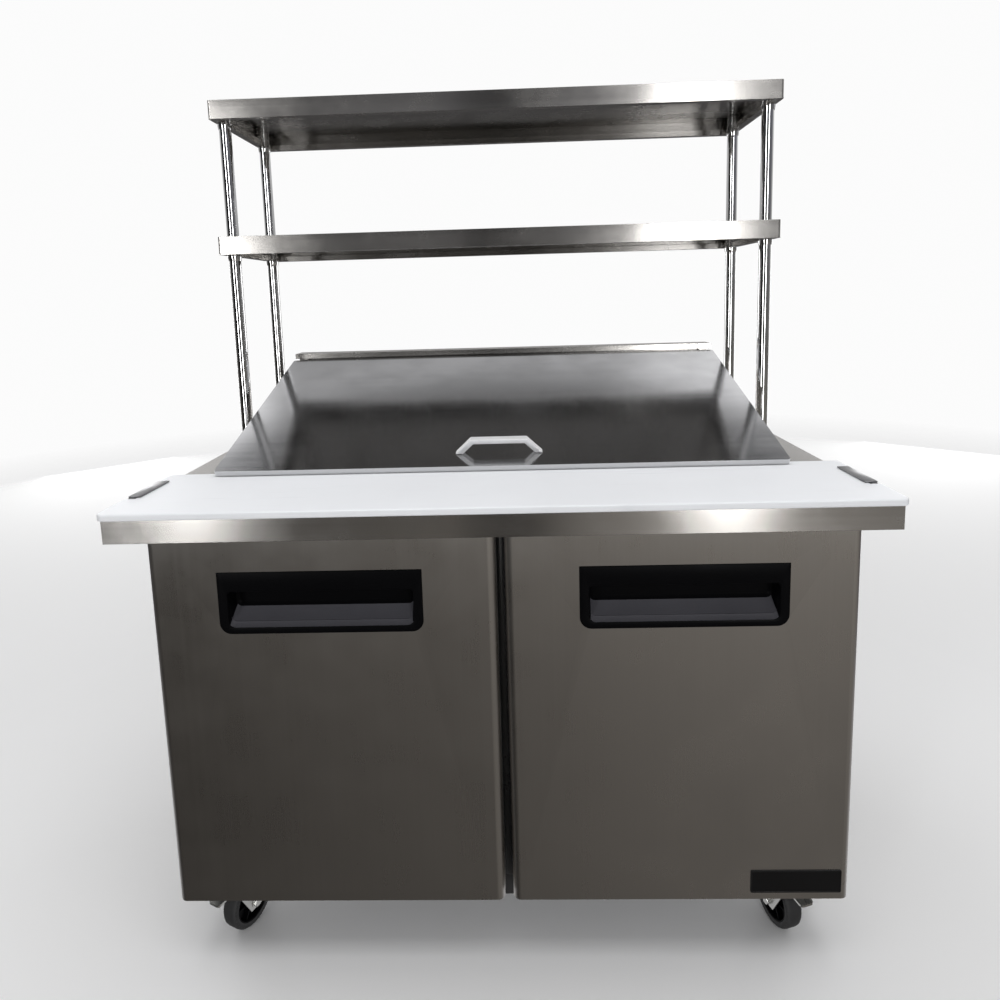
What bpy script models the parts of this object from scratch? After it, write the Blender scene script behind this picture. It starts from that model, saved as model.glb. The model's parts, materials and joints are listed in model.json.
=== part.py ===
"""Sandwich prep table: a two-door refrigerated cabinet on casters, with a worktop, a cutting board,
a pan well under a hinged lid, and two tube-mounted overshelves.

Metres, +Z up. X runs to the right, -Y is the side the user stands at, and Z = 0 is the floor.
The origin is under the middle of the table's bounding box.
"""

import math

import bmesh
import bpy
from mathutils import Matrix, Vector

# ---- Driving dimensions -------------------------------------------------------------------------
GAP = 0.0003  # between two pieces that touch
SHEET = 0.0015  # stainless sheet, folded

TABLE_HALF = 0.611  # worktop, side to side
TABLE_FRONT = -0.424
TABLE_REAR = 0.420
TABLE_TOP = 0.896
APRON_BOTTOM = 0.858

BODY_HALF = 0.605  # cabinet
BODY_FRONT = -0.259
BODY_REAR = 0.416
BODY_BOTTOM = 0.130

DOOR_FRONT = -0.3175
DOOR_BACK = -0.2683
DOOR_BOTTOM = 0.140
DOOR_TOP = 0.838
DOOR_INNER_EDGE = 0.0075  # half of the gap between the doors
DOOR_CORNER = 0.014
HINGE_X = 0.590  # door hinge axis, and its mirror image
HINGE_Y = -0.290
HINGE_PIN_R = 0.004

FRAME_BACK = BODY_FRONT + 0.004  # rear face of the face frame
OPENING_INNER = 0.0225  # door openings, from the mullion to the side
OPENING_OUTER = 0.560
OPENING_BOTTOM = 0.187
OPENING_TOP = 0.820

BAY_FRONT = 0.175  # machine bay, low at the rear
BAY_TOP = 0.402

POCKET_X = 0.30975  # middle of a door's handle pocket
POCKET_HALF = 0.1763
POCKET_BOTTOM = 0.656
POCKET_TOP = 0.767
RECESS_HALF = 0.160

BOARD_HALF = 0.616
BOARD_FRONT = -0.432
BOARD_REAR = -0.185
BOARD_THICK = 0.0117
NOTCH_FRONT = -0.344
NOTCH_REAR = -0.239
NOTCH_X = 0.5985

PAN_WIDTH = 0.162  # sixth-size pan
PAN_LENGTH = 0.176
PAN_DEPTH = 0.100
PAN_RIM = 0.0062  # flange beside each tub
PAN_COLUMNS = 6
WELL_FRONT = -0.181
WELL_HALF = PAN_COLUMNS * PAN_WIDTH / 2
WELL_REAR = WELL_FRONT + 3 * PAN_LENGTH

LID_HALF = 0.522
LID_FRONT_Y = -0.214  # top front edge
LID_FRONT_Z = 0.9185
LID_REAR_Y = 0.301  # top rear edge
LID_REAR_Z = 1.075
LID_FLANGE = 0.010
LID_SLOPE = math.atan2(LID_REAR_Z - LID_FRONT_Z, LID_REAR_Y - LID_FRONT_Y)
LID_LENGTH = math.hypot(LID_REAR_Z - LID_FRONT_Z, LID_REAR_Y - LID_FRONT_Y)
LID_FRAME = Matrix.Translation((0, LID_FRONT_Y, LID_FRONT_Z)) @ Matrix.Rotation(LID_SLOPE, 4, "X")
LID_AXIS_BACK = LID_LENGTH - 0.0043  # hinge axis in the lid's own frame
LID_AXIS_DOWN = -0.014
LID_AXIS = LID_FRAME @ Vector((0, LID_AXIS_BACK, LID_AXIS_DOWN))
ROD_R = 0.003

CHEEK_INNER = 0.4915
CHEEK_OUTER = 0.512
HOOD_TOP = 1.090
HOOD_FRONT = 0.3145  # front lip of the rail behind the lid
HOOD_REAR = 0.372

SHELF_HALF = 0.602  # fits between the ends of the worktop, 14 in deep
SHELF_FRONT = 0.080
SHELF_REAR = 0.432
SHELF_BAND = 0.038
SHELF_TOPS = {"overshelf_upper": 1.647, "overshelf_lower": 1.365}
RETURN_IN = 0.017
RETURN_UP = 0.013
POST_R = 0.0127
POST_X = 0.586
POST_YS = {"front": 0.130, "rear": 0.378}

RACK_Z = 0.459  # underside of the wire shelves
EVAPORATOR_Z = 0.655
EVAPORATOR_FAN_Y = 0.295
CONDENSER = Vector((-0.31, 0.3165, 0.265))  # middle of its fan

WHEEL_R = 0.051
WHEEL_HALF = 0.016
TRAIL = 0.038
CASTERS = {  # swivel axis and the way its wheel trails
    "front_left": ((-0.508, -0.180), math.radians(-24)),
    "front_right": ((0.508, -0.180), math.radians(17)),
    "rear_left": ((-0.508, 0.330), math.radians(-150)),
    "rear_right": ((0.508, 0.330), math.radians(166)),
}

MATERIALS = {  # colour, metallic, roughness
    "stainless": ((0.42, 0.40, 0.37), 1.0, 0.33),
    "polished_tube": ((0.70, 0.70, 0.72), 1.0, 0.10),
    "cast_handle": ((0.80, 0.80, 0.80), 1.0, 0.28),
    "cutting_board": ((0.90, 0.91, 0.93), 0.0, 0.45),
    "handle_plastic": ((0.015, 0.015, 0.017), 0.0, 0.38),
    "gasket": ((0.03, 0.03, 0.03), 0.0, 0.75),
    "liner": ((0.62, 0.63, 0.64), 1.0, 0.42),
    "foam": ((0.75, 0.66, 0.42), 0.0, 0.90),
    "pan_steel": ((0.62, 0.62, 0.62), 1.0, 0.22),
    "galvanised": ((0.48, 0.49, 0.50), 0.9, 0.50),
    "coated_wire": ((0.80, 0.80, 0.80), 0.0, 0.35),
    "black_enamel": ((0.02, 0.02, 0.02), 0.2, 0.35),
    "fin_aluminium": ((0.70, 0.71, 0.72), 1.0, 0.40),
    "white_plastic": ((0.80, 0.80, 0.78), 0.0, 0.50),
    "plate_black": ((0.012, 0.011, 0.010), 0.0, 0.50),
    "zinc": ((0.55, 0.56, 0.58), 1.0, 0.30),
    "tread": ((0.02, 0.02, 0.02), 0.0, 0.80),
}


# ---- Modelling helpers --------------------------------------------------------------------------
def clear_scene():
    for obj in list(bpy.data.objects):
        bpy.data.objects.remove(obj, do_unlink=True)


def new_collection(name):
    found = bpy.data.collections.new(name)
    bpy.context.scene.collection.children.link(found)
    return found


def make_material(name):
    colour, metallic, roughness = MATERIALS[name]
    material = bpy.data.materials.new(name)
    material.use_nodes = True
    shader = material.node_tree.nodes["Principled BSDF"]
    shader.inputs["Base Color"].default_value = (*colour, 1.0)
    shader.inputs["Metallic"].default_value = metallic
    shader.inputs["Roughness"].default_value = roughness
    return material


def add(name, bm, material=None):
    """An object from a bmesh: a part if it has a material, and a cutter or an addition if not."""
    mesh = bpy.data.meshes.new(name)
    bm.to_mesh(mesh)
    bm.free()
    obj = bpy.data.objects.new(name, mesh)
    if material:
        mesh.materials.append(materials[material])
        parts.objects.link(obj)
    else:
        obj.hide_render = True
        obj.display_type = "WIRE"
        cutters.objects.link(obj)
    return obj


def cube_into(bm, low, high):
    low, high = Vector(low), Vector(high)
    place = Matrix.Translation((low + high) / 2) @ Matrix.Diagonal((*(high - low), 1))
    return bmesh.ops.create_cube(bm, size=1, matrix=place)["verts"]


def box(name, low, high, material=None, rounded=None, radius=0.0, segments=3, where=None):
    """A box between two corners. Its edges along the axis `rounded` that pass `where` are rounded."""
    bm = bmesh.new()
    cube_into(bm, low, high)
    if rounded:
        axis = "XYZ".index(rounded)
        edges = [
            edge
            for edge in bm.edges
            if abs((edge.verts[0].co - edge.verts[1].co)[axis]) > 1e-6
            and (where is None or where((edge.verts[0].co + edge.verts[1].co) / 2))
        ]
        bmesh.ops.bevel(bm, geom=edges, offset=radius, segments=segments, affect="EDGES", profile=0.5)
    return add(name, bm, material)


def boxes(name, corners, material=None):
    """Separate boxes in one mesh, as a cutter or an addition."""
    bm = bmesh.new()
    for low, high in corners:
        cube_into(bm, low, high)
    return add(name, bm, material)


def rod(name, start, end, radius, material=None, sides=16):
    """A cylinder between two points."""
    start, end = Vector(start), Vector(end)
    turn = (end - start).to_track_quat("Z", "Y").to_matrix().to_4x4()
    place = Matrix.Translation((start + end) / 2) @ turn
    bm = bmesh.new()
    bmesh.ops.create_cone(
        bm,
        cap_ends=True,
        segments=sides,
        radius1=radius,
        radius2=radius,
        depth=(end - start).length,
        matrix=place,
    )
    return add(name, bm, material)


def rods(name, spans, radius, material=None, sides=16):
    """Separate cylinders in one mesh, as a cutter or an addition."""
    bm = bmesh.new()
    for start, end in spans:
        start, end = Vector(start), Vector(end)
        turn = (end - start).to_track_quat("Z", "Y").to_matrix().to_4x4()
        place = Matrix.Translation((start + end) / 2) @ turn
        length = (end - start).length
        bmesh.ops.create_cone(
            bm, cap_ends=True, segments=sides, radius1=radius, radius2=radius, depth=length, matrix=place
        )
    return add(name, bm, material)


def profile(name, outline, low, high, material=None):
    """A flat (y, z) outline carried along X from low to high."""
    bm = bmesh.new()
    face = bm.faces.new([bm.verts.new((low, y, z)) for y, z in outline])
    moved = bmesh.ops.extrude_face_region(bm, geom=[face])["geom"]
    far = [item for item in moved if isinstance(item, bmesh.types.BMVert)]
    bmesh.ops.translate(bm, verts=far, vec=(high - low, 0, 0))
    bmesh.ops.recalc_face_normals(bm, faces=bm.faces)
    return add(name, bm, material)


def turned(name, outline, material, steps=24, closed=False):
    """A turned shape about Z. The (radius, z) outline runs down its outer side."""
    mesh = bpy.data.meshes.new(name)
    count = len(outline)
    edges = [(i, i + 1) for i in range(count - 1)]
    if closed:
        edges.append((count - 1, 0))
    mesh.from_pydata([(r, 0, z) for r, z in outline], edges, [])
    mesh.materials.append(materials[material])
    obj = bpy.data.objects.new(name, mesh)
    parts.objects.link(obj)
    screw = obj.modifiers.new("Screw", "SCREW")
    screw.steps = steps
    screw.render_steps = steps
    screw.use_merge_vertices = True
    screw.merge_threshold = 0.0001
    return obj


def boolean(obj, other, operation):
    modifier = obj.modifiers.new(other.name, "BOOLEAN")
    modifier.operation = operation
    modifier.object = other
    return obj


def cut(obj, other):
    return boolean(obj, other, "DIFFERENCE")


def join(obj, other):
    return boolean(obj, other, "UNION")


def place(frame, *objects):
    """Sets objects made at the origin into a frame."""
    for obj in objects:
        obj.matrix_world = frame @ obj.matrix_world
        for modifier in obj.modifiers:
            if modifier.type == "BOOLEAN":
                modifier.object.matrix_world = frame @ modifier.object.matrix_world


def pivot(name, location, turn=0.0, parent=None):
    """An empty on a joint's axis."""
    empty = bpy.data.objects.new(name, None)
    empty.empty_display_size = 0.05
    empty.matrix_world = Matrix.Translation(location) @ Matrix.Rotation(turn, 4, "Z")
    parts.objects.link(empty)
    if parent:
        empty.parent = parent
    return empty


def hang(empty, *objects):
    """Parents objects that are already in place to a joint's empty."""
    for obj in objects:
        obj.parent = empty
        obj.matrix_parent_inverse = empty.matrix_world.inverted()


def ring_z(name, low, high, inner_low, inner_high):
    """A rectangular ring lying flat, as an addition."""
    obj = box(name, low, high)
    inner = box(name + "_hole", (*inner_low, low[2] - 0.01), (*inner_high, high[2] + 0.01))
    return cut(obj, inner)


# ---- Cabinet ------------------------------------------------------------------------------------
def make_base_frame():
    side = BODY_HALF - SHEET - GAP
    obj = box("base_frame", (-side, -0.2505, BODY_BOTTOM), (side, 0.4135, 0.140), "galvanised")
    cut(obj, box("base_hollow", (-side + 0.003, -0.2475, BODY_BOTTOM + 0.002), (side - 0.003, 0.4105, 0.2)))
    half_plate = Vector((0.050, 0.042))
    plates = []
    for (x, y), _ in CASTERS.values():
        low = (x - half_plate.x, y - half_plate.y, BODY_BOTTOM - 0.0038)
        high = (x + half_plate.x, y + half_plate.y, BODY_BOTTOM + 0.0005)
        plates.append((low, high))
    return join(obj, boxes("caster_plates", plates))


def make_outer_wrap():
    """Both outer sides and the bottom skin, folded from one sheet."""
    outer, inner = BODY_HALF, BODY_HALF - SHEET
    top = TABLE_TOP - SHEET - GAP - 0.002
    obj = box("outer_wrap", (-outer, BODY_FRONT, BODY_BOTTOM), (outer, BODY_REAR, top), "stainless")
    above = box("wrap_above", (-inner, -0.5, 0.1418), (inner, 0.5, 1.0))
    below = box("wrap_below", (-inner, -0.5, 0.0), (inner, 0.5, 0.1403))
    cut(obj, above)
    return cut(obj, below)


def make_rear_panels():
    side = BODY_HALF - SHEET - GAP
    front = BODY_REAR - SHEET
    split = BAY_TOP - 0.001
    box("back_panel", (-side, front, split + GAP), (side, BODY_REAR, APRON_BOTTOM - 0.001), "stainless")
    grille = box("rear_grille", (-side, front, 0.1425), (side, BODY_REAR, split), "galvanised")
    slots = []
    for bank in (-0.31, 0.31):
        for row in range(9):
            z = 0.170 + 0.024 * row
            slots.append(((bank - 0.22, front - 0.01, z), (bank + 0.22, BODY_REAR + 0.01, z + 0.011)))
    cut(grille, boxes("louvre_slots", slots))
    hole = rod("inlet_hole", (0, 0.40, 0.20), (0, 0.43, 0.20), 0.0112)
    cut(grille, hole)
    inlet = turned(
        "power_inlet",
        [(0.0, 0.0120), (0.0075, 0.0120), (0.0095, 0.0080), (0.0150, 0.0080), (0.0160, 0.0070),
         (0.0160, 0.0019), (0.0105, 0.0019), (0.0105, -0.0150), (0.0, -0.0150)],
        "handle_plastic",
        steps=16,
    )
    inlet.matrix_world = Matrix.Translation((0, BODY_REAR - SHEET, 0.20)) @ Matrix.Rotation(
        -math.pi / 2, 4, "X"
    )


def room(front, offset):
    """The (y, z) outline of the cold room, `offset` inside the insulation."""
    return [
        (front, OPENING_BOTTOM + offset),
        (BAY_FRONT - 0.040 - offset, OPENING_BOTTOM + offset),
        (BAY_FRONT - 0.040 - offset, BAY_TOP + 0.042 + offset),
        (0.372 - offset, BAY_TOP + 0.042 + offset),
        (0.372 - offset, 0.848 - offset),
        (front, 0.848 - offset),
    ]


def make_insulation():
    side = BODY_HALF - SHEET - GAP
    outline = [
        (FRAME_BACK + GAP, 0.1421),
        (BAY_FRONT, 0.1421),
        (BAY_FRONT, BAY_TOP),
        (0.4140, BAY_TOP),
        (0.4140, 0.8920),
        (FRAME_BACK + GAP, 0.8920),
    ]
    obj = profile("cabinet_insulation", outline, -side, side, "foam")
    cut(obj, profile("cold_room", room(-0.4, 0.0), -OPENING_OUTER, OPENING_OUTER))
    hole = box("well_in_foam", (-0.4865, -0.1815, 0.80), (0.4865, 0.3475, 0.95))
    return cut(obj, hole)


def make_inner_liner():
    skin = 0.001
    outer = OPENING_OUTER - GAP
    obj = profile("inner_liner", room(FRAME_BACK + GAP, GAP), -outer, outer, "liner")
    inner = outer - skin
    cut(obj, profile("liner_space", room(-0.4, GAP + skin), -inner, inner))
    cut(obj, box("well_in_liner", (-0.4865, -0.1815, 0.80), (0.4865, 0.3475, 0.95)))
    ledges = [
        ((-inner - skin / 2, -0.200, 0.4525), (-inner + 0.010, 0.250, RACK_Z - GAP)),
        ((inner - 0.010, -0.200, 0.4525), (inner + skin / 2, 0.250, RACK_Z - GAP)),
        ((-0.030, 0.150, BAY_TOP + 0.0427), (0.030, 0.240, RACK_Z - GAP)),
    ]
    return join(obj, boxes("shelf_ledges", ledges))


def make_face_frame():
    side = BODY_HALF - SHEET - GAP
    obj = box("face_frame", (-side, BODY_FRONT, 0.1423), (side, FRAME_BACK, 0.8920), "stainless")
    windows = []
    for sign in (-1, 1):
        x0, x1 = sorted((sign * OPENING_INNER, sign * OPENING_OUTER))
        windows.append(((x0, -0.3, OPENING_BOTTOM), (x1, -0.2, OPENING_TOP)))
    cut(obj, boxes("door_openings", windows))
    ledge = box("mullion_ledge", (-0.030, FRAME_BACK - 0.002, 0.4525), (0.030, -0.232, RACK_Z - GAP))
    return join(obj, ledge)


def make_wire_shelves():
    for side, sign in (("left", -1), ("right", 1)):
        near, far = sign * 0.0060, sign * 0.5560
        low = (min(near, far), -0.244, RACK_Z)
        high = (max(near, far), 0.250, RACK_Z + 0.006)
        obj = box(f"wire_shelf_{side}", low, high, "coated_wire")
        count = 13
        rim = 0.008
        pitch = (high[0] - low[0] - rim) / count
        gaps = []
        for i in range(count):
            x = low[0] + rim + pitch * i
            for y0, y1 in ((-0.236, -0.003), (0.003, 0.242)):
                gaps.append(((x, y0, RACK_Z - 0.01), (x + pitch - rim, y1, RACK_Z + 0.02)))
        cut(obj, boxes(f"wire_gaps_{side}", gaps))


# ---- Doors --------------------------------------------------------------------------------------
def make_pocket(side, sign):
    """Recessed handle: fingers go in over a sloping scoop and up behind the lip."""
    x0, x1 = sign * POCKET_X - POCKET_HALF, sign * POCKET_X + POCKET_HALF
    mid = (POCKET_BOTTOM + POCKET_TOP) / 2
    front, back = DOOR_FRONT - 0.0012, -0.2795

    def low_corner(point):
        return point.z < mid

    obj = box(
        f"{side}_door_handle",
        (x0, front, POCKET_BOTTOM),
        (x1, back, POCKET_TOP),
        "handle_plastic",
        rounded="Y",
        radius=0.020,
        segments=5,
        where=low_corner,
    )
    inner = sign * POCKET_X
    scoop = [
        (-0.40, POCKET_BOTTOM + 0.0125),
        (front + 0.002, POCKET_BOTTOM + 0.0125),
        (back - 0.0035, 0.7030),
        (back - 0.0035, 0.7550),
        (DOOR_FRONT + 0.0080, 0.7550),
        (DOOR_FRONT + 0.0080, 0.7350),
        (-0.40, 0.7350),
    ]
    return cut(obj, profile(f"{side}_scoop", scoop, inner - RECESS_HALF, inner + RECESS_HALF))


def make_door_skin(side, sign):
    edges = sorted((sign * DOOR_INNER_EDGE, sign * BODY_HALF))
    low = (edges[0], DOOR_FRONT, DOOR_BOTTOM)
    high = (edges[1], -0.2736, DOOR_TOP)

    def front_edge(point):
        return point.y < DOOR_FRONT + 0.001

    obj = box(
        f"{side}_door_skin", low, high, "stainless", "Z", DOOR_CORNER, segments=5, where=front_edge
    )
    hollow = box(
        f"{side}_door_hollow",
        (low[0] + SHEET, low[1] + SHEET, low[2] + SHEET),
        (high[0] - SHEET, 0.0, high[2] - SHEET),
        None,
        "Z",
        DOOR_CORNER - SHEET,
        segments=5,
        where=lambda point: point.y < DOOR_FRONT + 0.01,
    )
    cut(obj, hollow)
    x = sign * POCKET_X
    mid = (POCKET_BOTTOM + POCKET_TOP) / 2
    window = box(
        f"{side}_pocket_window",
        (x - POCKET_HALF - GAP, -0.4, POCKET_BOTTOM - GAP),
        (x + POCKET_HALF + GAP, DOOR_FRONT + 0.004, POCKET_TOP + GAP),
        None,
        "Y",
        0.020 + GAP,
        segments=5,
        where=lambda point: point.z < mid,
    )
    cut(obj, window)
    pin_x = sign * HINGE_X
    holes = rods(
        f"{side}_pin_holes",
        [
            ((pin_x, HINGE_Y, DOOR_BOTTOM - 0.01), (pin_x, HINGE_Y, DOOR_BOTTOM + 0.01)),
            ((pin_x, HINGE_Y, DOOR_TOP - 0.01), (pin_x, HINGE_Y, DOOR_TOP + 0.01)),
        ],
        HINGE_PIN_R + 0.0006,
        sides=16,
    )
    return cut(obj, holes)


def make_door_liner(side, sign):
    """Inner panel, with a raised middle that enters the opening."""
    edges = sorted((sign * (DOOR_INNER_EDGE + 0.002), sign * (BODY_HALF - 0.002)))
    obj = box(
        f"{side}_door_liner",
        (edges[0], -0.2733, DOOR_BOTTOM + 0.002),
        (edges[1], DOOR_BACK, DOOR_TOP - 0.002),
        "liner",
    )
    raised = sorted((sign * (OPENING_INNER + 0.0125), sign * (OPENING_OUTER - 0.012)))
    plug = box(
        f"{side}_door_plug",
        (raised[0], -0.2700, OPENING_BOTTOM + 0.013),
        (raised[1], -0.2540, OPENING_TOP - 0.012),
    )
    join(obj, plug)
    hollow = box(
        f"{side}_plug_hollow",
        (raised[0] + SHEET, -0.3, OPENING_BOTTOM + 0.013 + SHEET),
        (raised[1] - SHEET, -0.2555, OPENING_TOP - 0.012 - SHEET),
    )
    return cut(obj, hollow)


def make_gasket(side, sign):
    x_out = sorted((sign * (OPENING_INNER - 0.013), sign * (OPENING_OUTER + 0.0145)))
    x_in = sorted((sign * (OPENING_INNER - 0.002), sign * (OPENING_OUTER + 0.003)))
    back, front = BODY_FRONT - 0.0005, DOOR_BACK + GAP
    obj = box(
        f"{side}_door_gasket",
        (x_out[0], front, OPENING_BOTTOM - 0.013),
        (x_out[1], back, OPENING_TOP + 0.013),
        "gasket",
    )
    hole = box(
        f"{side}_gasket_hole",
        (x_in[0], -0.3, OPENING_BOTTOM - 0.002),
        (x_in[1], -0.2, OPENING_TOP + 0.002),
    )
    return cut(obj, hole)


def make_hinge_bracket(side, sign, top):
    """A plate with the pin that a door turns on."""
    name = f"{side}_door_hinge_{'top' if top else 'bottom'}"
    x0, x1 = sorted((sign * 0.566, sign * (BODY_HALF - SHEET - 0.0005)))
    pin = (sign * HINGE_X, HINGE_Y)
    if top:
        z0, z1 = 0.8412, 0.8462
        back = BODY_FRONT - GAP
        leg = ((x0, back - 0.0025, 0.8400), (x1, back, 0.8560))
        ends = ((*pin, z0 + 0.001), (*pin, DOOR_TOP - 0.012))
    else:
        z0, z1 = 0.1330, 0.1385
        back = -0.2508
        leg = ((x0, back - 0.0025, BODY_BOTTOM), (x1, back, z1))
        ends = ((*pin, z1 - 0.001), (*pin, DOOR_BOTTOM + 0.012))
    obj = box(
        name,
        (x0, -0.304, z0),
        (x1, back, z1),
        "zinc",
        "Z",
        0.010,
        segments=3,
        where=lambda point: point.y < -0.30,
    )
    join(obj, boxes(name + "_leg", [leg]))
    return join(obj, rod(name + "_pin", *ends, HINGE_PIN_R))


def make_doors():
    for side, sign in (("left", -1), ("right", 1)):
        empty = pivot(f"{side}_door_pivot", (sign * HINGE_X, HINGE_Y, DOOR_BOTTOM))
        hang(
            empty,
            make_door_skin(side, sign),
            make_door_liner(side, sign),
            make_gasket(side, sign),
            make_pocket(side, sign),
        )
        make_hinge_bracket(side, sign, True)
        make_hinge_bracket(side, sign, False)
    plate = box(
        "nameplate",
        (0.4305, DOOR_FRONT - GAP - 0.0012, 0.153),
        (0.5900, DOOR_FRONT - GAP, 0.197),
        "plate_black",
        "Y",
        0.003,
        segments=3,
    )
    hang(bpy.data.objects["right_door_pivot"], plate)


# ---- Worktop ------------------------------------------------------------------------------------
def make_worktop():
    obj = box(
        "worktop",
        (-TABLE_HALF, TABLE_FRONT, APRON_BOTTOM),
        (TABLE_HALF, TABLE_REAR, TABLE_TOP),
        "stainless",
    )
    under = box(
        "worktop_under",
        (-TABLE_HALF + SHEET, TABLE_FRONT + SHEET, 0.80),
        (TABLE_HALF - SHEET, TABLE_REAR - SHEET, TABLE_TOP - SHEET),
    )
    cut(obj, under)
    lip = box(
        "apron_lip",
        (-TABLE_HALF + 0.0005, TABLE_FRONT + 0.0005, APRON_BOTTOM),
        (TABLE_HALF - 0.0005, TABLE_FRONT + 0.018, APRON_BOTTOM + SHEET),
    )
    join(obj, lip)
    opening = box(
        "well_opening",
        (-WELL_HALF + 0.0025, WELL_FRONT + 0.0025, 0.85),
        (WELL_HALF - 0.0025, WELL_REAR - 0.0025, 1.0),
    )
    return cut(obj, opening)


def make_board():
    obj = box(
        "cutting_board",
        (-BOARD_HALF, BOARD_FRONT, TABLE_TOP + GAP),
        (BOARD_HALF, BOARD_REAR, TABLE_TOP + GAP + BOARD_THICK),
        "cutting_board",
        "Z",
        0.012,
        segments=4,
        where=lambda point: point.y < BOARD_FRONT + 0.01,
    )
    notches = []
    for sign in (-1, 1):
        x0, x1 = sorted((sign * NOTCH_X, sign * 0.65))
        notches.append(((x0, NOTCH_FRONT, 0.85), (x1, NOTCH_REAR, 0.95)))
    cut(obj, boxes("board_notches", notches))
    for side, sign in (("left", -1), ("right", 1)):
        x0, x1 = sorted((sign * (NOTCH_X + 0.001), sign * (TABLE_HALF - 0.0005)))
        box(
            f"board_retainer_{side}",
            (x0, NOTCH_FRONT + 0.002, TABLE_TOP + GAP),
            (x1, NOTCH_REAR - 0.002, TABLE_TOP + 0.0150),
            "stainless",
            "Y",
            0.003,
            segments=3,
            where=lambda point: point.z > TABLE_TOP + 0.01,
        )


def make_pans():
    """A rack that drops into the well, and three rows of pans whose flanges lie on it."""
    top = TABLE_TOP + GAP + 0.002
    flange = 0.0025
    rack = box(
        "pan_rack",
        (-WELL_HALF - flange, WELL_FRONT - flange, TABLE_TOP + GAP),
        (WELL_HALF + flange, WELL_REAR + flange, top),
        "stainless",
    )
    skirt = box(
        "rack_skirt",
        (-WELL_HALF + 0.003, WELL_FRONT + 0.003, 0.870),
        (WELL_HALF - 0.003, WELL_REAR - 0.003, TABLE_TOP + 0.001),
    )
    join(rack, skirt)
    windows = []
    for row in range(3):
        y0 = WELL_FRONT + PAN_LENGTH * row + 0.0053
        windows.append(((-0.4807, y0, 0.80), (0.4807, y0 + PAN_LENGTH - 0.0106, 1.0)))
    cut(rack, boxes("rack_windows", windows))
    for row, name in enumerate(("front", "middle", "rear")):
        y0 = WELL_FRONT + PAN_LENGTH * row
        rim_low = top + GAP
        rim_high = rim_low + 0.0015
        pans = box(
            f"pan_row_{name}",
            (-WELL_HALF, y0 + 0.0004, rim_low),
            (WELL_HALF, y0 + PAN_LENGTH - 0.0004, rim_high),
            "pan_steel",
        )
        tubs, hollows = [], []
        for column in range(PAN_COLUMNS):
            x0 = -WELL_HALF + PAN_WIDTH * column + PAN_RIM
            x1 = x0 + PAN_WIDTH - 2 * PAN_RIM
            y1 = y0 + PAN_LENGTH - PAN_RIM
            wall = 0.0010
            tubs.append(((x0, y0 + PAN_RIM, rim_high - PAN_DEPTH), (x1, y1, rim_low + 0.0005)))
            hollows.append((
                (x0 + wall, y0 + PAN_RIM + wall, rim_high - PAN_DEPTH + wall),
                (x1 - wall, y1 - wall, rim_high + 0.01),
            ))
        join(pans, boxes(f"tubs_{name}", tubs))
        cut(pans, boxes(f"tub_hollows_{name}", hollows))


# ---- Hood and lid -------------------------------------------------------------------------------
def under_lid(y):
    """Height of the cheek's top, just under the lid's flange."""
    return LID_FRONT_Z + (y - LID_FRONT_Y) * math.tan(LID_SLOPE) - (LID_FLANGE + 0.0008) / math.cos(LID_SLOPE)


def make_hood():
    bottom = TABLE_TOP + GAP
    front = BOARD_REAR + 0.002
    notch = LID_AXIS.z - 0.0015
    cheek = [
        (front, bottom),
        (front, under_lid(front)),
        (0.293, under_lid(0.293)),
        (0.301, notch),
        (HOOD_FRONT, notch),
        (HOOD_FRONT, HOOD_TOP),
        (HOOD_REAR, HOOD_TOP),
        (HOOD_REAR, bottom),
    ]
    inside = [
        (front + SHEET, bottom - 0.01),
        (front + SHEET, under_lid(front) - 0.002),
        (0.2925, under_lid(0.2925) - 0.002),
        (0.3008, notch - 0.0020),
        (HOOD_FRONT + SHEET, notch - 0.0020),
        (HOOD_FRONT + SHEET, HOOD_TOP - SHEET),
        (HOOD_REAR - SHEET, HOOD_TOP - SHEET),
        (HOOD_REAR - SHEET, bottom - 0.01),
    ]
    obj = profile("hood_frame", cheek, -CHEEK_OUTER, -CHEEK_INNER, "stainless")
    cut(obj, profile("left_cheek_inside", inside, -CHEEK_OUTER + SHEET, -CHEEK_INNER - SHEET))
    right = profile("right_cheek", cheek, CHEEK_INNER, CHEEK_OUTER)
    cut(right, profile("right_cheek_inside", inside, CHEEK_INNER + SHEET, CHEEK_OUTER - SHEET))
    join(obj, right)
    inner_back = 0.3522
    sheets = [
        ("hood_rail_top", (-LID_HALF, HOOD_FRONT, HOOD_TOP - SHEET), (LID_HALF, HOOD_REAR, HOOD_TOP)),
        ("hood_rail_lip", (-LID_HALF, HOOD_FRONT, HOOD_TOP - 0.012), (LID_HALF, HOOD_FRONT + SHEET, HOOD_TOP)),
        ("hood_skirt", (-0.50, 0.3250, 1.050), (0.50, 0.3265, HOOD_TOP - 0.001)),
        ("hood_inner_back", (-0.50, inner_back, bottom), (0.50, inner_back + SHEET, HOOD_TOP - 0.001)),
        ("hood_outer_back", (-0.50, HOOD_REAR - SHEET, bottom), (0.50, HOOD_REAR, HOOD_TOP - 0.0005)),
    ]
    for name, low, high in sheets:
        join(obj, box(name, low, high))
    y, z = LID_AXIS.y, LID_AXIS.z
    bosses = [((sign * CHEEK_INNER, y, z), (sign * CHEEK_OUTER, y, z)) for sign in (-1, 1)]
    join(obj, rods("rod_bosses", bosses, 0.0046))
    seat = CHEEK_INNER + 0.012
    cut(obj, rod("rod_seats", (-seat, y, z), (seat, y, z), ROD_R + 0.0002))
    end = seat - 0.0005
    rod("lid_hinge_rod", (-end, y, z), (end, y, z), ROD_R, "zinc")


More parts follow.
